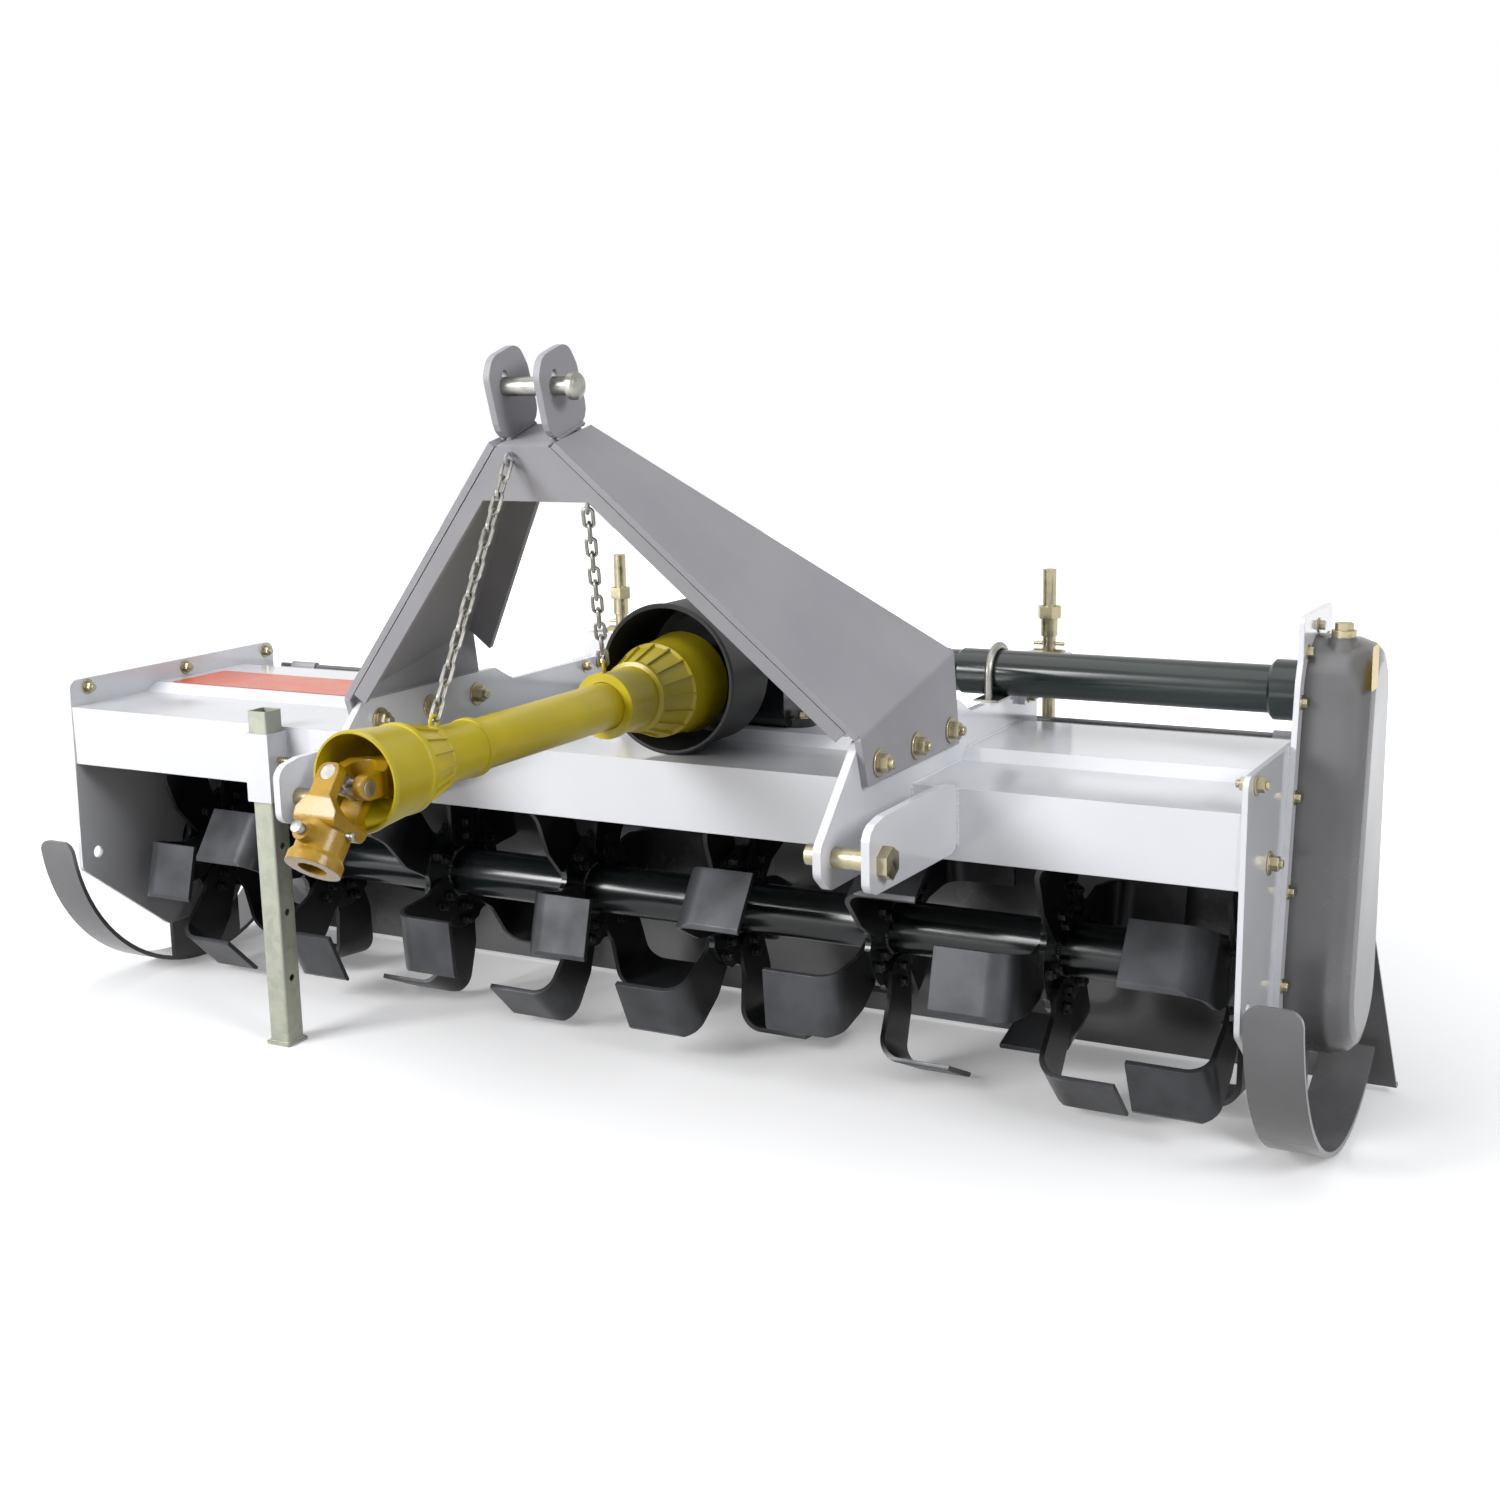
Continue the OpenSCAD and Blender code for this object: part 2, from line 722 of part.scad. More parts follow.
module guard_front() {
    color(guard_yellow) place() {
        translate([hitch_x, bell_y + guard_l, drive_z]) mirror([0, 1, 0]) guard_bell(bell_d);
        chain_eye(front_guard_eye, front_eye);
    }
}

module guard_tube() {
    tube_from = bell_y + guard_l * 0.61;
    tube_to = rear_start + guard_l * 0.39;
    color(guard_yellow) place() translate([hitch_x, tube_from, drive_z]) turned_y()
        translate([guard_d / 2 - guard_wall, 0]) square([guard_wall, tube_to - tube_from]);
}

module guard_rear() {
    color(guard_yellow) place() {
        translate([hitch_x, rear_start, drive_z]) guard_bell(rear_bell_d);
        chain_eye(rear_guard_eye, rear_eye);
    }
}

// Chains

module chain_link(inside) {
    mid_r = wire_d * 1.25;
    straight = grid * round((inside - 2 * (mid_r - wire_d / 2)) / grid);
    for (end = [0, 1]) {
        translate([0, 0, (end - 0.5) * straight]) rotate([90, end * 180 + 180, 0])
            rotate_extrude(angle = 180, $fn = 24) translate([mid_r, 0])
            circle(d = wire_d, $fn = zinc_wire_fn);
        translate([(end * 2 - 1) * mid_r, 0, -straight / 2])
            cylinder(h = straight, d = wire_d, $fn = zinc_wire_fn);
    }
}

// A taut chain between two eyes: an odd number of links, so that both end links cross their eyes
module chain(from_eye, to_eye) {
    way = unit(to_eye - from_eye);
    reach = eye_r - wire_d / 2;
    l = norm(to_eye - from_eye) - 2 * reach;
    n = 2 * round((l / link_l - 1) / 2) + 1;
    translate(from_eye + reach * way) rotate([0, 0, atan2(way[1], way[0])]) rotate([0, acos(way[2]), 0])
        for (i = [0:n - 1]) translate([0, 0, (i + 0.5) * l / n]) rotate([0, 0, (i + 1) % 2 * 90])
            chain_link(l / n + air);
}

front_eye_x = -20;
rear_eye_x = 78;
eye_in = guard_l * 0.68;
collar_in = guard_l * 0.02;
front_eye = head_point([front_eye_x, -eye_off, head_h * 0.8]);
rear_eye = head_point([rear_eye_x, mast_t / 2, -eye_off]);
front_guard_eye = [hitch_x, bell_y + eye_in, drive_z + bell_d * 0.3 + eye_off];
rear_guard_eye = [hitch_x, rear_start + collar_in, drive_z + rear_bell_d * 0.315 + eye_off];

module chain_front() {
    color(zinc) place() chain(front_eye, front_guard_eye);
}

module chain_rear() {
    color(zinc) place() chain(rear_eye, rear_guard_eye);
}

// Parking leg

sleeve_wall = 5;
sleeve_w = leg_w + 2 * (sleeve_wall + air);
sleeve_drop = 18;
sleeve_z = lip_z - sleeve_drop;
sleeve_h = 116;
leg_y = -sleeve_w / 2;
leg_wall = 3;
leg_foot = 4;

module leg_sleeve() {
    color(paint_white) place() translate([leg_x, leg_y, sleeve_z]) linear_extrude(height = sleeve_h)
        difference() {
            square(sleeve_w, center = true);
            square(leg_w + 2 * air, center = true);
        }
}

leg_pin_d = 12;
leg_pin_l = 34;
pin_ring_r = 16;
pin_ring_d = 4;
leg_round = 4;
leg_pad = 50;
leg_hole_n = 3;

// A pin with a pull ring
module leg_pin() {
    color(zinc) place() translate([leg_x + sleeve_w / 2, leg_y, sleeve_z + sleeve_h * 0.6]) {
        bar_x(leg_pin_d, 0, leg_pin_l);
        translate([leg_pin_l - pin_ring_d, 0, -pin_ring_r]) rotate([0, 90, 0])
            rotate_extrude() translate([pin_ring_r, 0]) circle(d = pin_ring_d, $fn = zinc_wire_fn);
    }
}

function leg_square(w) = [for (p = eased(block(w, w), leg_round)) p - [w / 2, w / 2]];

// A square tube on a foot pad, with a row of pin holes
module parking_leg() {
    color(zinc) place() translate([leg_x, leg_y, 0]) {
        linear_extrude(height = leg_foot) polygon(leg_square(leg_pad));
        difference() {
            linear_extrude(height = leg_l) polygon(leg_square(leg_w));
            translate([0, 0, leg_foot]) linear_extrude(height = leg_l)
                square(leg_w - 2 * leg_wall, center = true);
            for (i = [1:leg_hole_n]) translate([0, 0, i * leg_l / (leg_hole_n + 2)])
                bar_x(leg_pin_d, -leg_w, 2 * leg_w);
        }
    }
}

// Rear flap and its adjusters

hinge_d = 18;
hinge_off = 4;
hinge_y = hood_d + hinge_d / 2 + hinge_off;
hinge_z = rear_z;
hinge_l = 60;
hinge_n = 5;
hinge_pin_d = 10;
flap_bend_z = rotor_z + tip_r * 0.2;
flap_kick = 34;
hem_w = 14;
flap_foot_y = hinge_y - flap_kick;
hinge_pitch = (hood_w - 2 * hinge_l) / (hinge_n - 1);

module flap_hinges() {
    color(paint_grey) place() for (i = [0:hinge_n - 1])
        translate([-half_w + hinge_l + i * hinge_pitch - hinge_l / 2, 0, 0]) {
            difference() {
                union() {
                    translate([0, hinge_y, hinge_z]) bar_x(hinge_d, 0, hinge_l);
                    translate([0, hood_d, rear_z - sheet_t]) cube([hinge_l, hinge_y - hood_d, sheet_t]);
                }
                translate([0, hinge_y, hinge_z]) bar_x(hinge_pin_d + 2 * slip, -over, hinge_l + 2 * over);
            }
        }
}

module flap_section() {
    polygon([[hinge_y, hinge_z], [hinge_y + flap_t, hinge_z], [hinge_y + flap_t, flap_bend_z],
        [flap_foot_y + flap_t, flap_z + flap_t], [flap_foot_y + hem_w, flap_z + flap_t],
        [flap_foot_y + hem_w, flap_z], [flap_foot_y, flap_z], [hinge_y, flap_bend_z]]);
}

flap_top = hinge_z - hinge_d;

module flap() {
    color(paint_grey) place() {
        intersection() {
            upright(-flap_w / 2, flap_w) flap_section();
            facing(0, 2 * hood_d) polygon([[-flap_w / 2, 0], [flap_w / 2, 0], [flap_top_w / 2, flap_top],
                [-flap_top_w / 2, flap_top]]);
        }
        translate([0, hinge_y, hinge_z]) bar_x(hinge_pin_d, -half_w, hood_w);
        for (i = [0:hinge_n - 2])
            translate([-half_w + hinge_l + (i + 0.5) * hinge_pitch - hinge_l / 2, hinge_y, flap_top])
                cube([hinge_l, flap_t, hinge_d]);
    }
}

rod_x = rib_x;
rod_y = hood_d + rod_off;
lug_z = 430;
lug_t = 10;
lug_pin_d = 12;
eye_d = 30;
swivel_z = rib_top;
swivel_d = 34;
swivel_w = 50;

slot_play = 10;
slot_air = 1.5;
slot_w = lug_pin_d + 2 * slot_air;
eye_wall = 4;
rod_eye_d = slot_w + 2 * eye_wall;
eye_neck = 26;

// A pair of lugs at each rod, with the pin that runs in the rod's slotted eye
module flap_lugs() {
    color(paint_grey) place() both_hitch_sides() {
        for (side = [-1, 1])
            upright(rod_x + side * (eye_d / 2 + lug_t / 2 + air) - lug_t / 2, lug_t) {
                translate([rod_y, lug_z]) circle(d = eye_d);
                translate([hinge_y + flap_t, lug_z - eye_d / 2])
                    square([rod_y - hinge_y - flap_t, eye_d]);
            }
        translate([0, rod_y, lug_z]) bar_x(lug_pin_d, rod_x - eye_d, 2 * eye_d);
    }
}

module rod_swivels() {
    color(zinc) place() both_hitch_sides() translate([rod_x, rod_y, swivel_z]) difference() {
        union() {
            bar_x(swivel_d, -swivel_w / 2, swivel_w);
            bar_x(lug_pin_d, -swivel_w / 2 - bracket_t, swivel_w + 2 * bracket_t);
        }
        cylinder(h = swivel_d + 2 * over, d = rod_d + 2 * slip, center = true);
    }
}

nut_drop = 80;
nut_h = 20;
sleeve_up = 22;
stop_up = 18;
stop_d = 6;
stop_l = 52;

// A rod with a slotted eye below, and a stop pin, a sleeve and a nut above its swivel
module adjuster_rods() {
    rod_from = eye_neck * 0.6;
    nut_z = rod_top - lug_z - nut_drop;
    swivel_top = swivel_z - lug_z + swivel_d / 2;
    color(zinc) place() both_hitch_sides() translate([rod_x, rod_y, lug_z]) {
        translate([0, 0, rod_from]) cylinder(h = rod_top - lug_z - rod_from, d = rod_d);
        translate([0, 0, nut_z]) cylinder(h = nut_h, d = rod_d * 1.8, $fn = 6);
        translate([0, 0, swivel_top + sleeve_up]) cylinder(h = nut_z - swivel_top - sleeve_up, d = rod_d * 1.25);
        translate([0, 0, swivel_top + stop_up / 2]) bar_x(stop_d, -stop_l / 2, stop_l);
        upright(-eye_d / 2, eye_d) difference() {
            union() {
                translate([0, -slot_play]) circle(d = rod_eye_d);
                translate([-rod_eye_d / 2, -slot_play]) square([rod_eye_d, slot_play + eye_neck]);
            }
            for (end = [0, 1]) translate([0, -end * slot_play]) circle(d = slot_w);
            translate([-slot_w / 2, -slot_play]) square([slot_w, slot_play]);
        }
    }
}

bracket_t = 10;
bracket_h = 62;
tongue_drop = 24;
bracket_round = 12;
bracket_z = rib_low_z - tongue_drop;
tongue_l = 84;

// A fork behind each hitch rib that carries the swivel, with a tongue bolted to the rib's side
module rod_brackets() {
    color(paint_white) place() both_hitch_sides() translate([rod_x, 0, bracket_z]) {
        for (side = [-1, 1])
            upright(side * (swivel_w / 2 + bracket_t / 2 + air) - bracket_t / 2, bracket_t)
            difference() {
                translate([rib_back, 0]) polygon(eased(block(rod_y - rib_back + swivel_d / 2, bracket_h),
                    bracket_round));
                translate([rod_y, swivel_z - bracket_z]) circle(d = lug_pin_d + 2 * slip);
            }
        translate([-swivel_w / 2 - bracket_t - air, rib_back, 0])
            cube([swivel_w + 2 * (bracket_t + air), bracket_t, bracket_h]);
        translate([rib_t / 2, rib_back - tongue_l, 0])
            cube([bracket_t, tongue_l + bracket_t, rib_low_z - bracket_z]);
    }
}

// Rotor

flange_in = 54;
tine_start = 40;
notch_d = 44;
flange_x = half_w - flange_in;
flange_pitch = 2 * flange_x / (flange_n - 1);

module rotor_shaft() {
    color(paint_black) place() translate([0, rotor_y, rotor_z]) {
        bar_x(rotor_d, -half_w + plate_t, hood_w - 2 * plate_t);
        bar_x(stub_d, -end_x - hub_flange_t, 2 * (end_x + hub_flange_t));
    }
}

module rotor_flanges() {
    color(paint_black) place() translate([0, rotor_y, rotor_z]) for (i = [0:flange_n - 1])
        translate([-flange_x + i * flange_pitch, 0, 0]) rotate([tine_start - i * flange_step, 0, 0]) difference() {
            bar_x(flange_d, -flange_t / 2, flange_t);
            bar_x(rotor_d + 2 * slip, -flange_t, flange_t * 2);
            for (k = [0:tine_n - 1]) rotate([(k + 0.5) * 360 / tine_n, 0, 0])
                translate([0, 0, flange_d * 0.58]) bar_x(notch_d, -flange_t, flange_t * 2);
        }
}

// A tine: a shank against the flange that widens and sweeps back, and is folded over into a leaf
leaf_turn = -25;
leaf_r = tip_r * 0.9;
bend_r = 38;
tine_round = 30;
// Outline of a tine before its fold: across the shank and out from the axis, as shares of the tip radius
tine_shares = [[-0.16, 0.2], [0.16, 0.2], [0.17, 0.45], [0.34, 0.82], [0.38, 1], [-0.02, 1.1], [-0.06, 0.96],
    [-0.17, 0.62]];

module sickle() {
    intersection() {
        polygon(eased(spread(tine_shares, tip_r, tip_r), tine_round));
        circle(r = tip_r);
    }
}

module folded_strip() {
    square([tine_t, leaf_r - bend_r]);
    translate([bend_r, leaf_r - bend_r]) intersection() {
        difference() {
            circle(r = bend_r);
            circle(r = bend_r - tine_t);
        }
        translate([-bend_r, 0]) square(bend_r);
    }
    translate([bend_r, leaf_r - tine_t]) square([leaf_w - bend_r, tine_t]);
}

module tine() {
    intersection() {
        upright(0, leaf_w) sickle();
        rotate([leaf_turn, 0, 0]) translate([0, tip_r, 0]) rotate([90, 0, 0])
            linear_extrude(height = 2 * tip_r) folded_strip();
    }
}

// Leaves point both ways by turns, and only inwards on the end flanges
function tine_hand(i, k) = i == 0 ? 0 : i == flange_n - 1 ? 1 : k % 2;

module tines() {
    color(paint_black) place() translate([0, rotor_y, rotor_z]) for (i = [0:flange_n - 1])
        translate([-flange_x + i * flange_pitch, 0, 0]) for (k = [0:tine_n - 1])
            rotate([tine_start - i * flange_step + k * 360 / tine_n, 0, 0]) mirror([tine_hand(i, k), 0, 0])
            translate([flange_t / 2, 0, 0]) tine();
}

// Universal joint at the tractor's end of the drive shaft

joint_out = 16;
joint_y = bell_y - joint_out;
trunnion_d = 20;
trunnion_l = 74;
fork_w = 30;
arm_share = 0.6;
fork_t = 15;
fork_in = trunnion_l / 2 - fork_t;
fork_reach = 46;
fork_round = 10;
hub_l = 62;
hub_out = 60;
hub_rim_l = 12;
hub_rim_d = 68;
lock_d = 24;
lock_l = 42;
shaft_d = 46;

// A cast fork along +Y: a U seen from above, tapered to the trunnion eyes seen from the side
module fork(neck_w) {
    half = fork_in + fork_t;
    difference() {
        intersection() {
            translate([0, 0, -neck_w]) linear_extrude(height = 2 * neck_w) difference() {
                polygon(eased([[-half, -fork_w / 2 - over], [half, -fork_w / 2 - over], [half, fork_reach * 0.7],
                    [neck_w / 2, fork_reach + fork_t], [-neck_w / 2, fork_reach + fork_t],
                    [-half, fork_reach * 0.7]], fork_round));
                translate([0, fork_reach - fork_in]) circle(r = fork_in);
                translate([-fork_in, -fork_w]) square([2 * fork_in, fork_w + fork_reach - fork_in]);
            }
            upright(-half, 2 * half) {
                circle(d = fork_w);
                polygon([[0, -fork_w / 2], [fork_reach * arm_share, -fork_w / 2], [fork_reach, -neck_w / 2],
                    [fork_reach + fork_t, -neck_w / 2], [fork_reach + fork_t, neck_w / 2],
                    [fork_reach, neck_w / 2], [fork_reach * arm_share, fork_w / 2], [0, fork_w / 2]]);
            }
        }
        bar_x(trunnion_d + 2 * slip, -half - over, 2 * (half + over));
    }
}

module drive_yoke() {
    color(guard_yellow) place() translate([hitch_x, joint_y, drive_z]) {
        fork(shaft_d);
        translate([0, fork_reach, 0]) rotate([-90, 0, 0])
            cylinder(h = bowl_back - joint_y - fork_reach - air, d = shaft_d);
    }
}

module at_joint() {
    place() translate([hitch_x, joint_y, drive_z]) rotate([droop, 0, 0]) children();
}

module cross() {
    color(zinc) at_joint() {
        bar_x(trunnion_d, -trunnion_l / 2, trunnion_l);
        cylinder(h = trunnion_l, d = trunnion_d, center = true);
        sphere(d = trunnion_d * 1.3);
    }
}

// Fork, hub with an end rim, and the boss of the lock pin across the hub
module tractor_yoke() {
    color(guard_yellow) at_joint() rotate([0, 90, 180]) difference() {
        union() {
            fork(hub_out);
            translate([0, fork_reach, 0]) turned_y() polygon([[0, 0], [hub_out / 2, 0],
                [hub_out / 2, hub_l - hub_rim_l * 1.5], [hub_rim_d / 2, hub_l - hub_rim_l],
                [hub_rim_d / 2, hub_l], [0, hub_l]]);
            translate([0, fork_reach + hub_l / 2, 0]) rotate([0, -90, 0]) cylinder(h = lock_l, d = lock_d);
        }
        translate([0, fork_reach - fork_in, 0]) rotate([-90, 0, 0])
            cylinder(h = hub_l + fork_in + over, d = spline_d);
    }
}

hood();
side_plate_left();
side_plate_right();
rotor_bearings();
chain_case_plate();
chain_case_cover();
filler_plug();
skids();
skid_webs();
hitch_ribs();
hitch_cheeks();
lower_pins();
mast_arms();
mast_head();
mast_ears();
top_pin();
gearbox();
input_shield();
cross_tube();
tube_clamp();
guard_front();
guard_tube();
guard_rear();
chain_front();
chain_rear();
leg_sleeve();
leg_pin();
flap_hinges();
rod_brackets();
rotor_shaft();
rotor_flanges();
tines();
drive_yoke();
cross();
tractor_yoke();
parking_leg();
flap();
flap_lugs();
rod_swivels();
adjuster_rods();
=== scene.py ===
# %% [markdown]
# # A rotary tiller, dressed for a studio picture
# The solid model already holds every piece of the machine at its real size. This lesson loads it,
# puts a camera and soft light round it, paints each piece, and adds the small hardware that a
# tiller carries: bolts, washers, welds and labels. All lengths are metres.

# %% Load the frame
import json
import math

import bmesh
import bpy
from mathutils import Matrix, Vector


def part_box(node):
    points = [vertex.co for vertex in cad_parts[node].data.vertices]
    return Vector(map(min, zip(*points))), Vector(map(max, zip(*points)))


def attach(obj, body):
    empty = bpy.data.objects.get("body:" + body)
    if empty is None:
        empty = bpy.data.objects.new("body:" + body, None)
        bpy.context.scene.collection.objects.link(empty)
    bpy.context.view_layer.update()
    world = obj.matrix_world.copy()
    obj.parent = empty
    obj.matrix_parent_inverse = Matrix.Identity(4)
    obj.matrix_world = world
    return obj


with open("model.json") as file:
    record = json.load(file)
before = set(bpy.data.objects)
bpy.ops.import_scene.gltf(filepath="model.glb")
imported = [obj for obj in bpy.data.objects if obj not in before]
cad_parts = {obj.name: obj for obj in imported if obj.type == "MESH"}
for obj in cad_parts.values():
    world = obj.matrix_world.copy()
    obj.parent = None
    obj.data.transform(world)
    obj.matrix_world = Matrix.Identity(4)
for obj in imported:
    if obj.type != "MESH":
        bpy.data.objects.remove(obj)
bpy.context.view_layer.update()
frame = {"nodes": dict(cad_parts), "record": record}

nodes = frame["nodes"]

# %% [markdown]
# The photograph was taken from the front right, a little above the hood, with a normal lens.
# A camera can be aimed by hand or set from its angles. The angles are used here, because they were
# found from the machine's own straight edges: a turn, a tilt down and a small roll.

# %% Place the camera
IMAGE_PIXELS = 1500
FOCAL_PIXELS = 1935.9
SENSOR = 36.0
LIP_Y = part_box("hood")[0][1]
camera_turn, camera_tilt, camera_roll = (math.radians(a) for a in (28.43, 11.45, -1.21))
camera_place = Vector((1.6417, -2.4223 + LIP_Y, 1.1316))

ahead = Vector((-math.sin(camera_turn) * math.cos(camera_tilt),
                math.cos(camera_turn) * math.cos(camera_tilt), -math.sin(camera_tilt)))
level_right = Vector((math.cos(camera_turn), math.sin(camera_turn), 0))
level_up = level_right.cross(ahead)
right = level_right * math.cos(camera_roll) + level_up * math.sin(camera_roll)
up = level_up * math.cos(camera_roll) - level_right * math.sin(camera_roll)

camera_data = bpy.data.cameras.new("photo_camera")
camera_data.sensor_width = SENSOR
camera_data.lens = FOCAL_PIXELS * SENSOR / IMAGE_PIXELS
camera = bpy.data.objects.new("photo_camera", camera_data)
camera.matrix_world = Matrix((
    (right.x, up.x, -ahead.x, camera_place.x),
    (right.y, up.y, -ahead.y, camera_place.y),
    (right.z, up.z, -ahead.z, camera_place.z),
    (0, 0, 0, 1)))
bpy.context.scene.collection.objects.link(camera)
bpy.context.scene.camera = camera
print("lens:", round(camera_data.lens, 2), "mm")

# %% [markdown]
# A catalogue picture has no visible room: a white floor fades into a white backdrop. The floor could
# be a curved sheet, but a plane with a material of its own is simpler. It is lit paper, so that it
# keeps the machine's shadow, and it glows a little, more and more with the distance, so that it meets
# the backdrop without a line. The Light Path node tells which rays show that white: those that see it
# straight, mirrored or through glass. All other rays meet a dark floor, which lights nothing from below.

# %% Floor
bpy.context.scene.view_settings.view_transform = "Standard"
FLOOR_HALF = 9.0
FLOOR_DROP = 0.0015
PAPER_SHOWN, PAPER_HIDDEN = (0.84, 0.84, 0.85, 1), (0.15, 0.14, 0.13, 1)
GLOW_REACH, GLOW = (1.2, 3.6), (0.22, 1.1)


def deselect_everything():
    if bpy.context.object and bpy.context.object.mode != "OBJECT":
        bpy.ops.object.mode_set(mode="OBJECT")
    bpy.ops.object.select_all(action="DESELECT")


def ranged(tree, value, low, high, to_low=0.0, to_high=1.0):
    """The value, carried from the range low to high over to the range to_low to to_high."""
    node = tree.nodes.new("ShaderNodeMapRange")
    for socket, number in (("From Min", low), ("From Max", high), ("To Min", to_low), ("To Max", to_high)):
        node.inputs[socket].default_value = number
    tree.links.new(value, node.inputs["Value"])
    return node.outputs["Result"]


def math_in(tree, operation, a, b):
    """A sum or product of two values; either may be a number or a socket."""
    node = tree.nodes.new("ShaderNodeMath")
    node.operation = operation
    for socket, value in zip(node.inputs, (a, b)):
        if isinstance(value, float):
            socket.default_value = value
        else:
            tree.links.new(value, socket)
    return node.outputs[0]


def background_rays(tree):
    """1 for the rays that show the white background: seen straight, mirrored or through glass."""
    rays = tree.nodes.new("ShaderNodeLightPath")
    shown = rays.outputs["Is Camera Ray"]
    for kind in ("Is Glossy Ray", "Is Transmission Ray"):
        shown = math_in(tree, "MAXIMUM", shown, rays.outputs[kind])
    return shown


def paper_material():
    material = bpy.data.materials.new("white_paper")
    material.use_nodes = True
    tree = material.node_tree
    paper = tree.nodes["Principled BSDF"]
    paper.inputs["Roughness"].default_value = 0.9
    paper.inputs["Specular IOR Level"].default_value = 0.1
    background = background_rays(tree)
    tone = tree.nodes.new("ShaderNodeMix")
    tone.data_type = "RGBA"
    tone.inputs["A"].default_value = PAPER_HIDDEN
    tone.inputs["B"].default_value = PAPER_SHOWN
    tree.links.new(background, tone.inputs["Factor"])
    tree.links.new(tone.outputs["Result"], paper.inputs["Base Color"])
    reach = tree.nodes.new("ShaderNodeVectorMath")
    reach.operation = "LENGTH"
    tree.links.new(tree.nodes.new("ShaderNodeTexCoord").outputs["Object"], reach.inputs[0])
    glow = ranged(tree, reach.outputs["Value"], *GLOW_REACH, *GLOW)
    light = tree.nodes.new("ShaderNodeEmission")
    tree.links.new(math_in(tree, "MULTIPLY", glow, background), light.inputs["Strength"])
    both = tree.nodes.new("ShaderNodeAddShader")
    tree.links.new(paper.outputs[0], both.inputs[0])
    tree.links.new(light.outputs[0], both.inputs[1])
    tree.links.new(both.outputs[0], tree.nodes["Material Output"].inputs["Surface"])
    return material


deselect_everything()
bpy.ops.mesh.primitive_plane_add(size=2 * FLOOR_HALF, location=(0, 0, -FLOOR_DROP))
floor = bpy.context.object
floor.name = "studio_floor"
floor.data.materials.append(paper_material())
print("floor:", 2 * FLOOR_HALF, "m wide")

# %% [markdown]
# Softboxes light the machine as in a photographer's studio. Bare lamps would give hard shadows and
# small glints, so each lamp is a large rectangle. The strongest stands front left, where it lights the
# lip and the guards; the one overhead stays weak, so that the white deck keeps its shading.

# %% Lamps


def soft_lamp(name, place, size, power):
    data = bpy.data.lights.new(name, "AREA")
    data.shape = "RECTANGLE"
    data.size, data.size_y = size
    data.energy = power
    lamp = bpy.data.objects.new(name, data)
    lamp.location = place
    lamp.rotation_euler = (MACHINE_MIDDLE - Vector(place)).to_track_quat("-Z", "Y").to_euler()
    bpy.context.scene.collection.objects.link(lamp)


MACHINE_MIDDLE = Vector((0, 0, 0.5))
soft_lamp("overhead_softbox", (-0.4, -0.3, 4.2), (4.5, 2.4), 38)
soft_lamp("front_left_softbox", (-2.4, -4.2, 2.7), (2.6, 2.1), 310)
soft_lamp("right_softbox", (4.2, -1.4, 2.6), (1.3, 1.3), 90)

# %% [markdown]
# A studio's walls and ceiling send back some light too. A sky does that with no walls to model: a pale
# blue fill that darkens towards the ground. Where the background shows, the world is plain white.

# %% Sky
FILL_COLOUR = (0.93, 0.96, 1, 1)
FILL_HEIGHT, FILL = (-0.1, 0.8), (0.10, 0.46)

world = bpy.data.worlds.new("studio")
bpy.context.scene.world = world
world.use_nodes = True
sky = world.node_tree
for old in list(sky.nodes):
    sky.nodes.remove(old)
seen = sky.nodes.new("ShaderNodeBackground")
seen.inputs["Color"].default_value = (1, 1, 1, 1)
seen.inputs["Strength"].default_value = 1.0
fill = sky.nodes.new("ShaderNodeBackground")
fill.inputs["Color"].default_value = FILL_COLOUR
way = sky.nodes.new("ShaderNodeSeparateXYZ")
sky.links.new(sky.nodes.new("ShaderNodeTexCoord").outputs["Generated"], way.inputs[0])
sky.links.new(ranged(sky, way.outputs["Z"], *FILL_HEIGHT, *FILL), fill.inputs["Strength"])
pick = sky.nodes.new("ShaderNodeMixShader")
sky.links.new(background_rays(sky), pick.inputs["Fac"])
sky.links.new(fill.outputs[0], pick.inputs[1])
sky.links.new(seen.outputs[0], pick.inputs[2])
sky.links.new(pick.outputs[0], sky.nodes.new("ShaderNodeOutputWorld").inputs["Surface"])
print("sky fill:", FILL)

# %% [markdown]
# Sheet-metal paint is never one flat colour. Sprayed paint has faint blotches and an orange peel, and
# dust settles on what faces up. These could be drawn in each material. Each is a node group instead,
# so that every finish can use it at its own strength.

# %% Grain and dust
BLOTCH_DETAIL, GRAIN_DETAIL, DUST_DETAIL = 4.0, 2.0, 6.0


def new_group(name, inputs, outputs):
    group = bpy.data.node_groups.new(name, "ShaderNodeTree")
    for socket, kind, value in inputs:
        made = group.interface.new_socket(socket, in_out="INPUT", socket_type=kind)
        made.default_value = value
    for socket, kind in outputs:
        group.interface.new_socket(socket, in_out="OUTPUT", socket_type=kind)
    return group, group.nodes.new("NodeGroupInput"), group.nodes.new("NodeGroupOutput")


def noise_in(group, place, scale, detail):
    noise = group.nodes.new("ShaderNodeTexNoise")
    noise.inputs["Detail"].default_value = detail
    group.links.new(place, noise.inputs["Vector"])
    if isinstance(scale, float):
        noise.inputs["Scale"].default_value = scale
    else:
        group.links.new(scale, noise.inputs["Scale"])
    return noise.outputs["Fac"]


